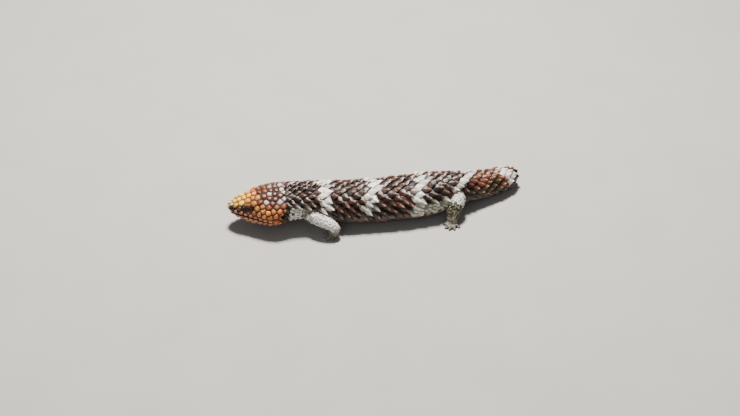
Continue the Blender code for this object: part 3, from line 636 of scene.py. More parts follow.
def bare_hide():
    """Soft, matt reptile skin, finely wrinkled: it takes the light without a shine."""
    made, tree, shader, place = new_finish("bare_reptile_hide", 0.72, 0.3)
    # The colour laid on the corners, with its painted shade between the plates.
    marks = add_node(tree, "ShaderNodeAttribute", attribute_name="horn")
    mottle = add_node(tree, "ShaderNodeTexNoise", {"Vector": place, "Scale": 700.0, "Detail": 4.0})
    tone = add_node(tree, "ShaderNodeMapRange", {"Value": mottle, "To Min": 0.75, "To Max": 1.25})
    wrinkle = add_node(tree, "ShaderNodeTexVoronoi", {"Vector": place, "Scale": 1100.0})
    bump = add_node(tree, "ShaderNodeBump", {"Height": wrinkle, "Strength": 0.5, "Distance": 0.4 * MM})
    feed(shader, {"Base Color": scaled(tree, marks, tone), "Normal": bump})
    return made


# The hide takes its markings darkened as painted shade between the plates.
set_attribute(hide_mesh, "horn", opaque(hide_painted_shade(hide_points)))
hide_mesh.name = "hide"
hide_mesh.materials.clear()
hide_mesh.materials.append(bare_hide())
hide_mesh.shade_smooth()
hide = linked("hide", hide_mesh)
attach(hide, "root")
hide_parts(*sorted(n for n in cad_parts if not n.startswith("eye")))

# The armour of the back. Thick rhombic scutes of horn, like the scales of a pine cone, lie in
# staggered rows from the nape to the tail tip, their points rearward and free over the next row.
# Distance in mm with the pitch along and across the body in mm, and with the lowest scute's turn.
SCUTE_ROWS = ((66, 5.0), (90, 5.8), (150, 6.5), (250, 6.4), (290, 6.0), (325, 5.2), (344, 3.4))
SCUTE_SIDES = ((66, 7.6), (95, 9.0), (160, 9.9), (235, 9.8), (270, 9.2), (320, 8.6), (344, 6.4))
LOWEST_SCUTE = ((66, 58), (80, 66), (104, 88), (250, 93), (290, 100), (344, 112))
MIDDLE_OF_BACK = ((0, 0), (344, 0))
SCUTE_LENGTH, SCUTE_WIDTH, SCUTE_HEIGHT = 2.22, 1.10, 2.35 * MM  # shares of the two pitches
FREE_END = 3.0 * MM  # from a scute's root to the middle of what shows of it
SCUTE_STRAY, OUT_STRAY, REAR_STRAY = 0.09, 0.07, 0.10  # by how much chance shifts and turns scutes
SCUTE_CLEARANCE = 9.5 * MM  # from the middle line of a limb to the nearest roots of scutes
FLANK_LEAN = 38.0  # degrees by which the points on the flank slant towards the belly
FLANK_LONGER, FLANK_NARROWER = 0.16, 0.22  # scutes of the flank are lance-shaped
GROIN, GROIN_TURN = (203, 250), 70  # distances in mm, and the turn below which round scales lie there
CLOSING, SHRINKING = 0.02, 0.03  # by which shares columns close up and plates shrink down the side
PATCH = 0.003  # size of one plate on the coat's map
GRID_AT = np.linspace(0, BODY_LENGTH, 87)
GRID_TURN = np.linspace(0, math.pi, 61)
GRID_RUN = np.linalg.norm(np.diff(skin(GRID_AT[:, None], GRID_TURN[None]), axis=1), axis=2)
GRID_RUN = np.hstack([np.zeros((len(GRID_AT), 1)), GRID_RUN.cumsum(axis=1)])


def runs_at(at):
    """Arc lengths round the skin to each turn of the grid, at one distance."""
    place = min(max(at, 0) / BODY_LENGTH, 1) * (len(GRID_AT) - 1)
    low = min(int(place), len(GRID_AT) - 2)
    return GRID_RUN[low] * (low + 1 - place) + GRID_RUN[low + 1] * (place - low)


def row_places(start, end, pitches):
    """Distances of rows from start to past end, in mm."""
    places = [start]
    while places[-1] < end:
        places.append(places[-1] + reads(pitches, places[-1]))
    return places


def staggered(rows, widths, first, last, chance, stray):
    """Places on both sides of the body, each row half a plate off the one before: distance, turn
    and size."""
    found = []
    for row, place in enumerate(rows):
        at, runs, pitch = place * MM, runs_at(place * MM), reads(widths, place) * MM
        start, end = (np.interp(math.radians(reads(t, place)), GRID_TURN, runs) for t in (first, last))
        column = 0.5 * (row % 2)
        while (arc := start + pitch * (column - CLOSING * column**2)) <= end:
            for side in (1, -1) if column or start else (1,):
                drift = chance.uniform(-stray, stray, 3)
                turn = np.interp(arc + drift[0] * pitch, runs, GRID_TURN)
                size = (1 - SHRINKING * column) * (1 + drift[2])
                found.append((at + drift[1] * pitch, side * turn, size))
            column += 1
    return np.array(found).T


def along_skin(ways, out, least=0.0):
    """Directions laid flat on a surface, given the directions out of it."""
    return unit(ways - out * (ways * out).sum(-1, keepdims=True), least)


def lying(at, turn, lean):
    """Directions out of the body and rearward along it, leant towards the belly by degrees."""
    out = outward(skin, at, turn)
    rear = along_skin(skin(at + MM, turn) - skin(at - MM, turn), out)
    down = np.cross(rear, out) * np.sign(turn)[:, None]
    lean = np.radians(lean)[:, None]
    return out, rear * np.cos(lean) + down * np.sin(lean)


def map_place(points):
    """A point's place on an unwrap of the body, or on one of the four strips for the limbs."""
    at, turn, reach = body_place(points)
    limb, share, angle, _, _ = limb_place(points)
    trunk = np.column_stack([0.01 + 0.97 * at / BODY_LENGTH, 0.36 + 0.34 * turn / math.pi])
    strip = np.column_stack([0.01 + 0.25 * limb + 0.22 * share, 0.86 + 0.11 * angle / math.pi])
    return np.where((on_limb(points, at / MM, reach) > 0.5)[:, None], strip, trunk)


def cushion_faces(sides, levels, start=0):
    """Faces of a closed cushion: a fan at its top, bands from level to level and a floor."""
    faces = [(start, start + 1 + k, start + 1 + (k + 1) % sides) for k in range(sides)]
    for low in range(start + 1, start + 1 + (levels - 1) * sides, sides):
        for k in range(sides):
            a, b = low + k, low + (k + 1) % sides
            faces.append((a, a + sides, b + sides, b))
    low = start + 1 + (levels - 1) * sides
    return faces + [tuple(range(low, low + sides))[::-1]]


def scale_mesh(name, sides, shares, rise, point=0.0, keel=0.0, drop=0.3, thick=0.4, root=1.0):
    """One plate, 1 long and 1 wide, its heights in shares of 1: rise gives front, rear and dome,
    point narrows its rear, keel raises its middle line and drop lowers its two sides."""
    front, rear, dome = rise
    angle = np.arange(sides) * 2 * math.pi / sides
    power = 1.9 - 0.6 * min(point * 2, 1)
    rim = (np.abs(np.cos(angle)) ** power + np.abs(np.sin(angle)) ** power) ** (-1 / power) / 2
    x, y = rim * np.cos(angle), rim * np.sin(angle)
    y = y * (1 - point * ramp(0.0, 0.5, x))

    def height(px, py, share):
        slope = front + (rear - front) * ramp(-0.5, 0.42, px)
        sides_down = 1 - drop * np.abs(py / 0.5) ** 1.5
        ridge = keel * np.exp(-((py / 0.09) ** 2)) * ramp(-0.4, 0.3, px) * (1 - share**6)
        return slope * np.where(slope > 0, sides_down, 1) + dome * (1 - share**3) + ridge

    levels = [(share, height(x * share, y * share, share), 1 - 0.5 * share**4) for share in shares]
    levels.append((0.97, height(x, y, 1.0) - thick * 0.5, 0.15))
    levels.append((0.9, height(x, y, 1.0) - thick, 0.0))
    levels.append((0.6, np.full(sides, -root), 0.0))
    points, tips, tops = [(0, 0, float(height(0.0, 0.0, 0.0)))], [0.5], [1.0]
    for share, lift, top in levels:
        points += [tuple(map(float, p)) for p in zip(x * share, y * share, lift)]
        tips += list(x * share + 0.5 - 0.9 * np.abs(y * share))
        tops += [top] * sides
    mesh = bpy.data.meshes.new(name)
    mesh.from_pydata(points, [], cushion_faces(sides, len(levels)))
    # tip runs from a plate's front and sides to its rear point, and top from its face down its skirt: the
    # finish lays painted shade and painted highlight by them.
    for key, values in (("tip", tips), ("top", tops), ("patch", np.array(points) * (1, 1, 0))):
        set_attribute(mesh, key, values)
    mesh.shade_smooth()
    return linked(name, mesh)


def new_group(name, *inputs):
    """An empty group of geometry nodes, with the sockets of its inputs."""
    tree = bpy.data.node_groups.new(name, "GeometryNodeTree")
    for label, kind in (("Geometry", "Geometry"), *inputs):
        tree.interface.new_socket(label, in_out="INPUT", socket_type="NodeSocket" + kind)
    tree.interface.new_socket("Geometry", in_out="OUTPUT", socket_type="NodeSocketGeometry")
    return tree, add_node(tree, "NodeGroupInput").outputs


def grown(data, tree, chosen):
    """The mesh that a group of geometry nodes makes of another, with its inputs set."""
    bed = linked("bed", data)
    growth = bed.modifiers.new("growth", "NODES")
    growth.node_group = tree
    for item in tree.interface.items_tree:
        if item.in_out == "INPUT" and item.name in chosen:
            growth[item.identifier] = chosen[item.name]
    return evaluated(bed)


def plates_tree():
    """Sets a plate on every root, turned and sized by it, roughens the horn and maps each plate."""
    tree, given = new_group(
        "plates_on_roots", ("Plate", "Object"), ("Horn", "Material"), ("Roughening", "Float"),
        ("Grains per Metre", "Float"), ("Seed", "Int"),
    )

    def named(name):
        node = add_node(tree, "GeometryNodeInputNamedAttribute", {"Name": name}, data_type="FLOAT_VECTOR")
        return node.outputs["Attribute"]

    def stored(geometry, name, value, kind, domain):
        inputs = {"Geometry": geometry, "Name": name, "Value": value}
        return add_node(tree, "GeometryNodeStoreNamedAttribute", inputs, data_type=kind, domain=domain)

    ways = {"Primary Axis": named("out"), "Secondary Axis": named("rear")}
    turned = add_node(tree, "FunctionNodeAxesToRotation", ways, primary_axis="Z", secondary_axis="X")
    plate = add_node(tree, "GeometryNodeObjectInfo", {"Object": given["Plate"], "As Instance": True})
    beds = {"Points": given["Geometry"], "Instance": plate.outputs["Geometry"]}
    beds.update({"Rotation": turned, "Scale": named("size")})
    placed = add_node(tree, "GeometryNodeInstanceOnPoints", beds)
    draw = add_node(tree, "FunctionNodeRandomValue", {"Seed": given["Seed"]}, data_type="FLOAT")
    toned = stored(placed, "tone", draw.outputs[1], "FLOAT", "INSTANCE")
    real = add_node(tree, "GeometryNodeRealizeInstances", {"Geometry": toned})
    place = add_node(tree, "GeometryNodeInputPosition")
    noise = {"Vector": place, "Scale": given["Grains per Metre"], "Detail": 3.0}
    grain = add_node(tree, "ShaderNodeTexNoise", noise).outputs["Color"]
    push = add_node(tree, "ShaderNodeVectorMath", {0: grain, 1: (0.5, 0.5, 0.5)}, operation="SUBTRACT")
    push = scaled(tree, push, given["Roughening"])
    rough = add_node(tree, "GeometryNodeSetPosition", {"Geometry": real, "Offset": push})
    spread = scaled(tree, named("patch"), PATCH)
    spot = add_node(tree, "ShaderNodeVectorMath", {0: named("root"), 1: spread})
    mapped = stored(rough, "OFBake", spot, "FLOAT2", "CORNER")
    dressed = {"Geometry": mapped, "Material": given["Horn"]}
    add_node(tree, "NodeGroupOutput", {"Geometry": add_node(tree, "GeometryNodeSetMaterial", dressed)})
    return tree


PLATES = plates_tree()


def grow_plates(name, roots, plate, finish, roughening, grains, seed):
    """Grows plates on roots as one plain mesh, roughened by a distance in so many grains a metre."""
    data = bpy.data.meshes.new("roots")
    data.from_pydata([tuple(p) for p in roots["points"]], [], [])
    spots = map_place(roots["points"])
    set_attribute(data, "root", np.column_stack([spots, np.zeros(len(spots))]))
    for key in ("out", "rear", "size", "horn"):
        set_attribute(data, key, roots[key])
    chosen = {"Plate": plate, "Horn": finish, "Roughening": roughening, "Grains per Metre": grains}
    made = grown(data, PLATES, {**chosen, "Seed": seed})
    bpy.data.objects.remove(plate, do_unlink=True)
    write_points(made, read_points(made))
    return linked(name, made)


def cast_horn(name, roughness, wear_highlight_from, wear_highlight_share, wear_highlight_colour, painted_shade_to, grain_mm, bump_mm):
    """Thick keratin with painted light: painted shade darkens its edges, most at the front of a scute
    where the plate before overhangs it, and its skirt down to the skin, less so on pale plates; where
    it stands out it turns pale and glossy, partly real wear and partly a painted highlight."""
    made, tree, shader, place = new_finish(name, roughness, 0.36)

    def read(attribute, output="Fac"):
        return add_node(tree, "ShaderNodeAttribute", attribute_name=attribute).outputs[output]

    def ranged(value, low, high, least, most):
        limits = {"Value": value, "From Min": low, "From Max": high, "To Min": least, "To Max": most}
        return add_node(tree, "ShaderNodeMapRange", limits)

    def maths(operation, first, second):
        return add_node(tree, "ShaderNodeMath", {0: first, 1: second}, operation=operation)

    def mixed(factor, first, second):
        inputs = {"Factor": factor, "A": first, "B": second}
        return add_node(tree, "ShaderNodeMix", inputs, data_type="RGBA").outputs["Result"]

    own = read("horn", "Color")
    noise = {"Vector": place, "Scale": 1 / (grain_mm * MM), "Detail": 5.0, "Roughness": 0.65}
    grain = add_node(tree, "ShaderNodeTexNoise", noise)
    # Where the plate stands out it is paled: partly real wear and partly a painted highlight.
    reached = maths("ADD", read("tip"), maths("MULTIPLY", maths("SUBTRACT", grain, 0.5), 0.7))
    wear_highlight = ranged(reached, wear_highlight_from, wear_highlight_from + 0.22, 0.0, wear_highlight_share)
    wear_highlight = maths("MULTIPLY", wear_highlight, ranged(read("tone"), 0.0, 1.0, 0.35, 1.0))
    # The pale colour mixes a brightened copy of the horn's own colour with a pale one: painted highlight.
    tint = mixed(wear_highlight, own, mixed(0.55, scaled(tree, own, 2.2), (*colour(wear_highlight_colour), 1.0)))
    bright = add_node(tree, "ShaderNodeRGBToBW", {"Color": own})
    # Painted shade towards the plate's front and edges, under the plate before; pale plates keep more of
    # their colour.
    front = ranged(read("tip"), 0.2, 0.7, painted_shade_to, 1.0)
    shade = maths("MAXIMUM", front, ranged(bright, 0.3, 0.7, 0.0, 0.7))
    # Painted shade down the plate's skirt towards its root.
    shade = maths("MULTIPLY", shade, ranged(read("top"), 0.1, 1.0, painted_shade_to * 0.6, 1.0))
    shade = maths("MULTIPLY", shade, ranged(read("tone"), 0.0, 1.0, 0.75, 1.25))
    shade = maths("MULTIPLY", shade, ranged(grain, 0.3, 0.7, 0.7, 1.25))
    gloss = ranged(grain, 0.3, 0.7, roughness - 0.1, roughness + 0.12)
    gloss = maths("SUBTRACT", gloss, maths("MULTIPLY", wear_highlight, 0.2))
    bump = add_node(tree, "ShaderNodeBump", {"Height": grain, "Strength": 0.6, "Distance": bump_mm * MM})
    feed(shader, {"Base Color": scaled(tree, tint, shade), "Roughness": gloss, "Normal": bump})
    return made


def root_bed(points, out, rear, size, shades, keep=slice(None)):
    """The roots that are kept: places, directions, sizes and colours."""
    found = {"points": points, "out": out, "rear": rear, "size": size, "horn": opaque(shades)}
    return {key: value[keep] for key, value in found.items()}


def scute_roots():
    """Roots of the scutes, longer, narrower and leant on the flank, with none where limbs join."""
    chance = np.random.default_rng(11)
    rows = row_places(67.0, 336.0, SCUTE_ROWS)
    at, turn, size = staggered(rows, SCUTE_SIDES, MIDDLE_OF_BACK, LOWEST_SCUTE, chance, SCUTE_STRAY)
    side, place = np.degrees(np.abs(turn)), at / MM
    out, rear = lying(at, turn, FLANK_LEAN * ramp(8, 60, side) * ramp(296, 262, place))
    out += chance.normal(0, OUT_STRAY, out.shape)
    rear += chance.normal(0, REAR_STRAY, rear.shape)
    points = skin(at, turn)
    flank = ramp(35, 62, side) * ramp(290, 265, place)
    along = reads(SCUTE_ROWS, place) * MM * (1 + FLANK_LONGER * flank)
    across = reads(SCUTE_SIDES, place) * MM * (1 - FLANK_NARROWER * flank)
    high = SCUTE_HEIGHT * size * ((ramp(60, 90, place) * 0.3 + 0.7) * chance.uniform(0.9, 1.12, len(at)))
    sizes = np.column_stack([along * SCUTE_LENGTH * size, across * SCUTE_WIDTH * size, high])
    free = limb_place(points)[4] > SCUTE_CLEARANCE
    groin = (side > GROIN_TURN) & (place > GROIN[0]) & (place < GROIN[1])
    shades = markings(points + rear * FREE_END, chance)
    return root_bed(points, out, rear, sizes, shades, (free | (side < 62)) & ~groin)


scute = scale_mesh("scute", 20, (0.3, 0.55, 0.76, 0.9, 1.0), (-0.25, 0.85, 0.26), 0.5, 0.28, 0.72, 0.5)
pine_cone_horn = cast_horn("cast_keratin_scute", 0.34, 0.58, 0.85, "#e4bda8", 0.19, 1.1, 0.25)
scutes = grow_plates("back_scutes", scute_roots(), scute, pine_cone_horn, 0.45 * MM, 620.0, 5)
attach(scutes, "root")

# The belly. Smooth, flat, pale scales in even cross rows lie shingled rearward from the throat to
# the vent and under the tail; painted shade darkens their colour under the body. Distance in mm
# with the two pitches in mm and with the first turn.
BELLY_ROWS = ((60, 3.4), (110, 4.0), (250, 4.0), (344, 3.2))
BELLY_SIDES = ((60, 5.0), (160, 6.6), (250, 6.4), (344, 4.6))
BELLY_EDGE = ((66, 100), (104, 96), (110, 97), (250, 98), (290, 105), (344, 116))
MIDDLE_OF_BELLY = ((0, 178), (344, 178))
BELLY_LENGTH, BELLY_WIDTH, BELLY_HEIGHT = 2.2, 1.08, 0.9 * MM  # shares of the two pitches
BELLY_STRAY, BELLY_LEAN, BELLY_CLEARANCE = 0.03, 20, 8.5 * MM


def belly_roots():
    """Roots of the belly's scales, with none where limbs join."""
    chance = np.random.default_rng(23)
    rows = row_places(100.0, 340.0, BELLY_ROWS)
    at, turn, size = staggered(rows, BELLY_SIDES, BELLY_EDGE, MIDDLE_OF_BELLY, chance, BELLY_STRAY)
    out, rear = lying(at, turn, BELLY_LEAN * ramp(130, 95, np.degrees(np.abs(turn))))
    points = skin(at, turn)
    along, across = (reads(table, at / MM) * MM for table in (BELLY_ROWS, BELLY_SIDES))
    high = np.full(len(at), BELLY_HEIGHT)
    sizes = np.column_stack([along * BELLY_LENGTH * size, across * BELLY_WIDTH * size, high])
    keep = limb_place(points)[4] > BELLY_CLEARANCE
    return root_bed(points, out, rear, sizes, markings(points, chance), keep)


belly_scale = scale_mesh("belly_scale", 14, (0.5, 0.82, 1.0), (-0.35, 0.62, 0.2), drop=0.1, root=1.4)
smooth_keratin = cast_horn("smooth_belly_keratin", 0.48, 0.75, 0.3, "#e4dccb", 0.6, 1.6, 0.08)
belly = grow_plates("belly_scales", belly_roots(), belly_scale, smooth_keratin, 0.10 * MM, 700.0, 6)
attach(belly, "root")

# Small scales. Limbs, feet and the soft skin of neck, throat and groin wear close round grains of
# horn that lie towards the toes or the tail, smallest on the feet and largest ahead of the thigh.
LIMB_SPACING, FOOT_SPACING, NECK_SPACING, GROIN_SPACING = 2.2 * MM, 1.45 * MM, 2.5 * MM, 3.9 * MM
GRAIN_RISE = (-0.2, 0.6, 0.35)
MOST_GRAINS = 900000.0  # to the square metre, before those too close to another are taken out
LEG_REACH, FOOT_REACH = 11.5 * MM, 20 * MM  # how far from a limb's middle line its grains grow
SOLE_TOP = 0.4 * MM  # nothing grows on the soles, where they meet the ground


def scatter_tree():
    """Even, close-packed points over the parts of the hide that an attribute picks out."""
    tree, given = new_group("roots_on_hide", ("Spacing", "Float"), ("Seed", "Int"))
    where = add_node(tree, "GeometryNodeInputNamedAttribute", {"Name": "small"}, data_type="FLOAT")
    sown = {"Mesh": given["Geometry"], "Distance Min": given["Spacing"], "Seed": given["Seed"]}
    sown.update({"Density Max": MOST_GRAINS, "Density Factor": where.outputs["Attribute"]})
    spread = add_node(tree, "GeometryNodeDistributePointsOnFaces", sown, distribute_method="POISSON")
    kept = add_node(tree, "GeometryNodePointsToVertices", {"Points": spread})
    add_node(tree, "NodeGroupOutput", {"Geometry": kept})
    return tree


SCATTER = scatter_tree()


def scatter(where, spacing, seed):
    """Points that lie evenly on the hide wherever the share given for its corners is high."""
    copy = hide_mesh.copy()
    set_attribute(copy, "small", where)
    return read_points(grown(copy, SCATTER, {"Spacing": spacing, "Seed": seed}))


def on_hide(points):
    """The nearest points of the hide, and the directions out of it there."""
    hits = [hide_tree.find_nearest(Vector(p)) for p in points]
    return np.array([h[0] for h in hits]), np.array([h[1] for h in hits])


def small_roots(where, spacing, seed, length, width, height):
    """Roots of small scales that lie down the limbs, or rearward on the trunk."""
    chance = np.random.default_rng(seed)
    points, out = on_hide(scatter(where, spacing, seed))
    at, turn, reach = body_place(points)
    _, _, _, way, far = limb_place(points)
    _, rear = lying(at, turn, np.full(len(at), 15.0))
    share = (ramp(1.02, 1.12, reach) * ramp(16 * MM, 11 * MM, far))[:, None]
    rear = along_skin(rear * (1 - share) + way * share, out, 1e-9)
    grown_by = chance.uniform(0.9, 1.1, len(points))[:, None]
    sizes = np.array([[length, width, height]]) * spacing * grown_by
    return root_bed(points, out, rear, sizes, markings(points, chance))


hide_at, hide_turn, hide_reach = body_place(hide_points)
_, hide_share, _, _, hide_far = limb_place(hide_points)
hide_place, hide_side = hide_at / MM, np.degrees(np.abs(hide_turn))
lifted = hide_points[:, 2] > SOLE_TOP
foot_part = ramp(0.60, 0.66, hide_share) * (hide_far < FOOT_REACH) * (hide_reach > 1.1)
on_leg = on_limb(hide_points, hide_place, hide_reach) > 0.3
near_limb = (hide_far < LEG_REACH) * np.maximum((hide_place > 76) * (hide_place < 296), on_leg)
limb_part = near_limb * (hide_side > 58) * (1 - foot_part)
off_limb = 1 - np.clip(limb_part + foot_part, 0, 1)
low_enough = hide_side > reads(LOWEST_SCUTE, hide_place) - 3
neck_part = (hide_place > 66) * (hide_place < 103) * low_enough * off_limb
groin_part = (hide_place > GROIN[0]) * (hide_place < GROIN[1]) * off_limb
groin_part = groin_part * (hide_side > GROIN_TURN + 2) * (hide_side < 98)
leg_keratin = cast_horn("granular_leg_keratin", 0.5, 0.6, 0.4, "#f8f4ea", 0.7, 1.2, 0.08)
# Piece, slot, sides and levels of its grains, their roughening in so many grains a metre and its
# seed, and the beds that they grow on: where, spacing, seed, and length, width and height for it.
SMALL_SCALES = (
    ("limb_scales", "olive_skin", 10, (0.55, 1.0), (0.08 * MM, 900.0, 7), (
        (limb_part, LIMB_SPACING, 31, 1.45, 1.12, 0.42),
    )),
    ("neck_scales", "cream_skin", 12, (0.45, 0.8, 1.0), (0.10 * MM, 800.0, 9), (
        (neck_part, NECK_SPACING, 41, 1.5, 1.18, 0.45),
        (groin_part, GROIN_SPACING, 43, 1.3, 1.1, 0.45),
    )),
    ("foot_scales", "olive_skin", 8, (0.55, 1.0), (0.05 * MM, 900.0, 8), (
        (foot_part, FOOT_SPACING, 37, 1.7, 1.4, 0.5),
    )),
)
for name, slot, sides, shares, rough, beds in SMALL_SCALES:
    grain = scale_mesh("grain", sides, shares, GRAIN_RISE, root=0.9)
    roots = [small_roots(where * lifted, *bed) for where, *bed in beds]
    roots = {key: np.concatenate([bed[key] for bed in roots]) for key in roots[0]}
    small_scales = grow_plates(name, roots, grain, leg_keratin, *rough)
    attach(small_scales, "root")

# The head. Cobbled shields of horn, each a low cushion with a groove round it, cover crown,
# cheeks and chin; larger ones line both lips, and small ones ring the eye and the nostril. The
# grooves are darkened as painted shade, and each shield carries a painted highlight in its middle.
HEAD_END = 67.0
COBBLE_SIDES = 22
COBBLE_ANGLES = np.arange(COBBLE_SIDES) * 2 * math.pi / COBBLE_SIDES
# Levels of a shield from its middle down: share of its rim, and how far it is out of the groove.
# The second list also lays painted shade down a shield's side into its groove.
COBBLE_SHARES, COBBLE_TOPS = (0.3, 0.55, 0.76, 0.9, 1.0), (1, 1, 1, 1, 0.8, 0.45, 0.1, 0)
SUNK_SHARES, SUNK = (0.98, 0.7), (-0.35 * MM, -1.2 * MM)
BOW, RIM_HEIGHT = 3.4, 0.10 * MM  # how flat a shield is on top, and how high its edge stands
CUSHION, LEAST_CUSHION, MOST_CUSHION = 0.42, 0.35 * MM, 1.25 * MM  # height for a half size of 1
LIP_PITCH, LIP_OFFSET, LIP_SIZE = 5.4, 2.3, 2.4
LIP_BAND = 2.6 * MM  # free shields keep this far from the line of the mouth
SIZE_DRAW, CLOSENESS, SETTLINGS = (0.84, 1.14), 0.86, 6  # of the free shields
GROOVE, MOUTH_GAP = 0.30 * MM, 0.62 * MM  # half the width of a groove, and what the mouth adds to it
CORNERS, WIDEST = 11.0, 1.25  # how sharply its sides meet, and the most it reaches for its half size
GRAZING = 0.12  # a neighbour bounds the sides that face it more squarely than this
# Rings of small shields: place, radius, count and half size in mm.
OPENINGS = (
    (EYE_AT, EYE_TURN, 5.0 * MM, 15, 1.25),
    (NOSTRIL_AT, NOSTRIL_TURN, 1.9 * MM, 7, 0.85),
    (EAR_AT, EAR_TURN, 3.4 * MM, 10, 1.1),
)
# Distance in mm, and half the size of a shield on crown, cheek and throat there.
CROWN_SIZE = ((0, 2.3), (10, 2.9), (25, 3.2), (45, 3.5), (66, 3.0))
CHEEK_SIZE = ((0, 2.1), (12, 2.5), (30, 3.0), (50, 3.3), (66, 2.6))
THROAT_SIZE = ((0, 1.8), (12, 2.3), (40, 2.5), (66, 1.9))


def head_spacing(at, turn):
    """Half the size of a shield in metres, by distance in mm and turn in degrees."""
    side = np.abs(turn)
    crown, cheek, throat = (reads(table, at) for table in (CROWN_SIZE, CHEEK_SIZE, THROAT_SIZE))
    found = crown + (cheek - crown) * ramp(35, 70, side)
    return (found + (throat - found) * ramp(112, 135, side)) * MM


def mouth_turn(at):
    """The turn at which the skin meets the height of the mouth, for a distance in mm."""
    turns = np.radians(np.linspace(60, 165, 80))
    heights = skin(np.full(80, at * MM), turns)[:, 2]
    return np.interp(-smooth(MOUTH, at)[0] * MM, -heights, turns)


def ring_places(at, turn, radius, count):
    """Points of a ring on the hide round a place on the left side."""
    rear = unit(skin(at + MM, turn) - skin(at - MM, turn))
    up = np.cross(outward(skin, at, turn), rear)
    angles = (np.arange(count) + 0.5) * 2 * math.pi / count
    return skin(at, turn) + radius * (np.outer(np.cos(angles), rear) + np.outer(np.sin(angles), up))


def fixed_seeds():
    """Left-hand seeds that have a place of their own, with their half sizes: lips and rings."""
    seeds, sizes = [], []
    for place in np.arange(4.5, MOUTH_CORNER, LIP_PITCH):
        runs, turn = runs_at(place * MM), mouth_turn(place)
        for side in (1, -1):
            arc = np.interp(turn, GRID_TURN, runs) - side * LIP_OFFSET * MM
            seeds.append(skin(place * MM, np.interp(arc, runs, GRID_TURN)))
            sizes.append(LIP_SIZE * MM)
    for at, turn, radius, count, size in OPENINGS:
        seeds += list(ring_places(at, turn, radius, count))
        sizes += [size * MM] * count
    return np.array(seeds), np.array(sizes)


def middle_seeds():
    """Seeds of the single rows of shields along the middle of crown and chin."""
    seeds, sizes = [], []
    for turn in (0.0, math.pi):
        place = 3.5
        while place < HEAD_END + 4:
            sizes.append(float(head_spacing(place, math.degrees(turn))))
            seeds.append(skin(place * MM, turn))
            place += 1.85 * sizes[-1] / MM
    return np.array(seeds), np.array(sizes)


def mirror(points):
    """Points on the other side of the back line."""
    heading, _, side = beside_line(points, body_place(points)[0])
    across = np.column_stack([np.sin(heading), -np.cos(heading), np.zeros(len(points))])
    return points - across * (2 * side)[:, None]


def head_seeds():
    """Seeds of all shields on both sides: fixed ones, and free ones settled evenly between them."""
    left = hide_points[(hide_at < (HEAD_END + 4) * MM) & (hide_turn >= 0)]
    at, turn, _ = body_place(left)
    want = head_spacing(at / MM, np.degrees(turn))
    middle, middle_size = middle_seeds()
    fixed, fixed_size = fixed_seeds()
    at_mouth = np.abs(left[:, 2] - smooth(MOUTH, at / MM)[:, 0] * MM) < LIP_BAND
    blocked = at_mouth & (at < (MOUTH_CORNER - 1) * MM) & (np.degrees(turn) > 75)
    for place, angle, radius, _, _ in OPENINGS:
        blocked |= np.linalg.norm(left - skin(place, angle), axis=1) < radius
    chance = np.random.default_rng(5)
    seeds, sizes = [*middle, *fixed], [*middle_size, *fixed_size]
    held = len(seeds)
    for k in chance.permutation(np.flatnonzero(~blocked)):
        gap = np.linalg.norm(np.array(seeds) - left[k], axis=1)
        size = want[k] * chance.uniform(*SIZE_DRAW)
        if (gap > (np.array(sizes) + size) * CLOSENESS).all():
            seeds.append(left[k])
            sizes.append(size)
    seeds, sizes = np.array(seeds), np.array(sizes)
    for _ in range(SETTLINGS):
        owner = (np.linalg.norm(left[:, None] - seeds[None], axis=2) - sizes[None]).argmin(axis=1)
        for k in range(held, len(seeds)):
            own = left[owner == k]
            if len(own) > 3:
                seeds[k] = own.mean(axis=0)
        seeds[held:] = on_hide(seeds[held:])[0]
    paired = slice(len(middle), None)
    return np.vstack([seeds, mirror(seeds[paired])]), np.append(sizes, sizes[paired])


def cell_rim(k, seeds, sizes, rear, across, lip, near):
    """How far a shield reaches to each side before it meets its neighbours or the mouth."""
    reach = np.full(COBBLE_SIDES, (sizes[k] * WIDEST) ** -CORNERS)
    for other, j, far in near.find_range(seeds[k], sizes[k] * 4 + 2 * MM):
        if j == k or far < 0.2 * MM:
            continue
        off = np.array(other) - seeds[k]
        split = far * (0.5 + 0.5 * (sizes[k] - sizes[j]) / (sizes[k] + sizes[j])) - GROOVE
        split -= MOUTH_GAP * (lip[k] * lip[j] < 0)
        facing = np.cos(COBBLE_ANGLES - math.atan2(off @ across[k], off @ rear[k]))
        wall = (np.maximum(split, 0.3 * MM) / np.maximum(facing, GRAZING)) ** -CORNERS
        reach += np.where(facing > GRAZING, wall, 0)
    return reach ** (-1 / CORNERS)


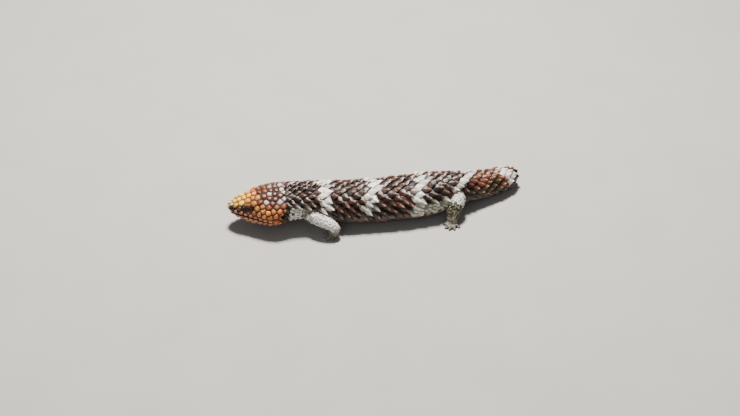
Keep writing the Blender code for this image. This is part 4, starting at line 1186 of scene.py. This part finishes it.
def cobbles():
    """One mesh of shields, each filling its own cell between the seeds round it."""
    seeds, sizes = head_seeds()
    seeds, out = on_hide(seeds)
    at, turn, _ = body_place(seeds)
    _, rear = lying(at, np.where(turn == 0, 1e-3, turn), np.zeros(len(at)))
    rear = along_skin(rear, out)
    across = np.cross(out, rear)
    chance = np.random.default_rng(9)
    above = np.where(seeds[:, 2] > smooth(MOUTH, at / MM)[:, 0] * MM, 1, -1)
    lip = above * (at < MOUTH_CORNER * MM)
    near = KDTree(len(seeds))
    for k, seed in enumerate(seeds):
        near.insert(seed, k)
    near.balance()
    shades, places = markings(seeds, chance), map_place(seeds)
    kept = np.flatnonzero(at < HEAD_END * MM)
    counts = [1] + [COBBLE_SIDES] * (len(COBBLE_TOPS) - 1)
    points, faces, tones, spots = [], [], [], []
    for k in kept:
        rim = cell_rim(k, seeds, sizes, rear, across, lip, near)
        height = np.clip(rim.mean() * CUSHION, LEAST_CUSHION, MOST_CUSHION) * chance.uniform(0.8, 1.2)
        height *= 0.27 + 0.73 * ramp(0, 6, at[k] / MM)
        rises = [height * (1 - share**BOW) + RIM_HEIGHT for share in COBBLE_SHARES]
        lift = np.repeat([height, *rises, *SUNK], counts)
        ahead, over = (
            np.append(0, np.outer((*COBBLE_SHARES, *SUNK_SHARES), wave * rim))
            for wave in (np.cos(COBBLE_ANGLES), np.sin(COBBLE_ANGLES))
        )
        local = np.outer(ahead, rear[k]) + np.outer(over, across[k])
        ground, normal = on_hide(seeds[k] + local)
        faces += cushion_faces(COBBLE_SIDES, len(counts) - 1, len(points))
        points += list(ground + (normal * 0.5 + out[k] * 0.5) * lift[:, None])
        tones.append(chance.random())
        spots += list(places[k] + local @ np.array([rear[k], across[k]]).T / (2 * rim.max()) * PATCH)
    mesh = bpy.data.meshes.new("head_shields")
    mesh.from_pydata([tuple(map(float, p)) for p in points], [], faces)
    # tip is highest in a shield's middle and top on its face: the finish lays a painted highlight in the
    # middle and painted shade at the rim and into the groove.
    set_attribute(mesh, "tip", np.tile(0.75 - 0.5 * np.repeat([0, *COBBLE_SHARES, 1, 1], counts), len(kept)))
    set_attribute(mesh, "top", np.tile(np.repeat(COBBLE_TOPS, counts), len(kept)))
    set_attribute(mesh, "tone", np.repeat(tones, sum(counts)))
    set_attribute(mesh, "horn", np.repeat(opaque(shades[kept]), sum(counts), axis=0))
    corner = np.empty(len(mesh.loops), np.int32)
    mesh.loops.foreach_get("vertex_index", corner)
    uv = np.array(spots)[corner].astype(np.float32)
    mesh.uv_layers.new(name="OFBake").data.foreach_set("uv", uv.ravel())
    mesh.shade_smooth()
    return mesh


shields = linked("head_shields", cobbles())
shields.data.materials.append(cast_horn("cobbled_head_keratin", 0.34, 0.55, 0.45, "#ffdcb0", 0.6, 0.9, 0.18))
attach(shields, "root")

# The eyes. Small dark balls with a round pupil in a red-brown ring, wet and glossy, each held by
# thick granular lids that leave an almond-shaped opening.
LID_INNER, LID_OUTER, LID_RISE = (3.5 * MM, 1.35 * MM), 4.9 * MM, 1.2 * MM
LID_STEPS, LID_BEADS, BEAD_SHARE = 56, 18, 0.10
# A lid's section from the cheek over its roll to the ball: share from inner to outer rim, height.
LID_PROFILE = (
    (1.0, -0.9), (0.92, 0.15), (0.72, 0.75), (0.45, 1.0), (0.2, 0.98), (0.04, 0.78), (0.0, 0.45),
    (0.25, -0.6), (0.7, -1.2),
)
LID_DARK = "#3a2116"
PUPIL, IRIS = 0.42, 0.95  # angles from the eye's own axis, in shares of 1.5 radians
EYE_RINGS = ((PUPIL, "#050304"), (IRIS, "#0d0706"), (PUPIL + 0.06, "#5a2c14"), (PUPIL + 0.28, "#3a1a0d"))


def skin_frame(at, turn, depth=0.0):
    """A frame on the skin or under it: its X rearward along the body, its Z straight out."""
    out = Vector(outward(skin, at, turn))
    rear = Vector(skin(at + MM, turn) - skin(at - MM, turn))
    rear = (rear - out * rear.dot(out)).normalized()
    made = Matrix((rear, out.cross(rear), out)).transposed().to_4x4()
    made.translation = Vector(skin(at, turn)) - out * depth
    return made


def colour_ramp(tree, share, stops):
    """Colours by a share, from stops of a position and a colour each."""
    made = add_node(tree, "ShaderNodeValToRGB", {"Fac": share})
    elements = made.color_ramp.elements
    for k, (position, code) in enumerate(stops):
        stop = elements[k] if k < 2 else elements.new(position)
        stop.position, stop.color = position, (*colour(code), 1)
    return made


def wet_eye():
    """A clear wet cornea over a dark iris: black pupil, rust ring, near-black rim."""
    made, tree, shader, place = new_finish("wet_lizard_eye", 0.1, 0.25)
    axis = add_node(tree, "ShaderNodeAttribute", attribute_name="axis").outputs["Fac"]
    flecks = add_node(tree, "ShaderNodeTexNoise", {"Vector": place, "Scale": 2600.0})
    shifted = add_node(tree, "ShaderNodeMath", {0: flecks, 1: 0.18, 2: axis}, operation="MULTIPLY_ADD")
    rings = colour_ramp(tree, shifted, EYE_RINGS)
    feed(shader, {"Base Color": rings, "Coat Weight": 0.12, "Coat Roughness": 0.03})
    return made


def eye_ball(side, finish):
    """An eyeball in its hollow; each corner knows its angle from the eye's own axis."""
    shell = bmesh.new()
    bmesh.ops.create_uvsphere(shell, u_segments=40, v_segments=28, radius=EYE_RADIUS)
    data = shell_mesh(shell, "eyeball", lofted=False)
    axis = np.arccos(np.clip(read_points(data)[:, 2] / EYE_RADIUS, -1, 1)) / 1.5
    set_attribute(data, "axis", axis)
    data.transform(skin_frame(EYE_AT, side * EYE_TURN, EYE_DEPTH))
    data.materials.append(finish)
    data.shade_smooth()
    return data


def lid_mesh(side, finish):
    """A closed ring of lid: it rises from the cheek, rolls over and tucks in on the ball."""
    lid_frame = skin_frame(EYE_AT, side * EYE_TURN)
    angles = np.arange(LID_STEPS) * 2 * math.pi / LID_STEPS
    circle = np.stack([np.cos(angles), np.sin(angles)], -1)
    inner, outer = circle * LID_INNER, circle * LID_OUTER
    beads = 1 + BEAD_SHARE * np.cos(angles * LID_BEADS)
    rings = []
    for share, rise in LID_PROFILE:
        flat = inner + (outer - inner) * share
        up = np.full(LID_STEPS, rise * LID_RISE) * (beads if rise > 0.7 else 1)
        rings.append([lid_frame @ Vector((*p, u)) for p, u in zip(flat, up)])
    shell = bmesh.new()
    add_loft(shell, rings, hoop=True)
    data = shell_mesh(shell, "lid")
    upper = read_points(data)[:, 2:3] > skin(EYE_AT, EYE_TURN)[2]
    set_attribute(data, "horn", opaque(colour(LID_DARK) * (0.6 + 0.5 * upper)))
    for name, value in (("tip", 0.35), ("top", 1.0), ("tone", 0.5)):
        set_attribute(data, name, np.full(len(upper), value))
    data.materials.append(finish)
    data.shade_smooth()
    return data


eye_finish = wet_eye()
lid_finish = cast_horn("granular_lid_skin", 0.5, 0.6, 0.3, "#d9a070", 0.8, 0.7, 0.12)
for side, word in ((1, "left"), (-1, "right")):
    eye = linked("eyeball_" + word, eye_ball(side, eye_finish))
    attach(eye, "root")
    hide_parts("eye_" + word)
    lid = linked("eyelids_" + word, lid_mesh(side, lid_finish))
    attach(lid, "root")

# The claws. Short, blunt, curved horn, one to each toe and bent down ahead of it, mottled dark and
# pale; in life dark at the root and horn-coloured at the point, and worn flat by walking.
CLAW_LENGTH, CLAW_RADIUS, CLAW_TIP, CLAW_BEND = 2.0 * MM, 0.85 * MM, 0.18 * MM, 1.25 * MM
CLAW_AHEAD, CLAW_LIFT = 0.6 * MM, 0.35 * MM  # its root, ahead of and above the tip of the toe


def claw_mesh():
    """All claws as one mesh, each bent down ahead of its toe."""
    shell = bmesh.new()
    for at, side, _, foot in LIMBS:
        sole, tips = toe_tips(at, side, foot)
        for tip in tips:
            ahead = tip - sole
            ahead.z = 0
            ahead.normalize()
            start = tip + ahead * CLAW_AHEAD + Vector((0, 0, CLAW_LIFT))
            rows = []
            for share in np.linspace(0, 1, 7):
                place = start + ahead * CLAW_LENGTH * share - Vector((0, 0, CLAW_BEND * share**2))
                rows.append((*place, CLAW_RADIUS * (1 - share) ** 0.8 + CLAW_TIP))
            add_loft(shell, limb_rings(rows, 10))
    data = shell_mesh(shell, "claws")
    write_points(data, read_points(data))
    data.shade_smooth()
    return data


def mottled(name, roughness, specular, grains, *codes):
    """A finish whose colour wanders between two, in so many grains a metre."""
    made, tree, shader, place = new_finish(name, roughness, specular)
    noise = add_node(tree, "ShaderNodeTexNoise", {"Vector": place, "Scale": grains, "Detail": 3.0})
    feed(shader, {"Base Color": colour_ramp(tree, noise, zip((0, 1), codes))})
    return made


claws = linked("claws", claw_mesh())
# Solid keratin with a soft shine, streaked dark and pale.
claws.data.materials.append(mottled("polished_claw_keratin", 0.32, 0.5, 900.0, "#2a211b", "#8a7a66"))
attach(claws, "root")

# The studio. A pale floor, a high soft light that stands for the noon sky, a weak one from the
# front, and a camera that looks down on the animal's left side.
CAMERA_PLACE = Vector((-0.23711, -1.00184, 0.86612))
AZIMUTH, ELEVATION, VIEW_WIDTH = math.radians(-12.75), math.radians(40.0), math.radians(35.0)
SENSOR_WIDTH = 36.0

floor_data = bpy.data.meshes.new("floor")
floor_data.from_pydata([(-4, -4, 0), (4, -4, 0), (4, 4, 0), (-4, 4, 0)], [], [(0, 1, 2, 3)])
# A sheet of pale matt board with a faint mottle.
floor_data.materials.append(mottled("pale_matt_board", 0.9, 0.2, 12.0, "#9f9c96", "#a9a6a0"))
floor = linked("floor", floor_data)


def aim(thing, place, back):
    """Puts a light or the camera at a place, its back to a direction."""
    thing.location = place
    thing.rotation_euler = (-Vector(back)).to_track_quat("-Z", "Y").to_euler()


for name, place, size, power, tint in (
    ("noon", (0.05, 0.5, 1.65), 0.3, 114.0, (1.0, 0.97, 0.92)),
    ("front", (-0.9, -1.3, 0.9), 1.2, 4.5, (0.95, 0.97, 1.0)),
):
    light = bpy.data.lights.new(name, "AREA")
    light.size, light.energy, light.color = size, power, tint
    aim(linked(name, light), place, place)
world = bpy.data.worlds.new("soft_sky")
world.use_nodes = True
feed(world.node_tree.nodes["Background"], {"Color": (0.85, 0.9, 1.0, 1.0), "Strength": 0.2})
bpy.context.scene.world = world

lens = bpy.data.cameras.new("camera")
lens.sensor_width = SENSOR_WIDTH
lens.lens = SENSOR_WIDTH / 2 / math.tan(VIEW_WIDTH / 2)
camera = linked("camera", lens)
level = math.cos(ELEVATION)
aim(camera, CAMERA_PLACE, (math.sin(AZIMUTH) * level, -math.cos(AZIMUTH) * level, math.sin(ELEVATION)))
bpy.context.scene.camera = camera
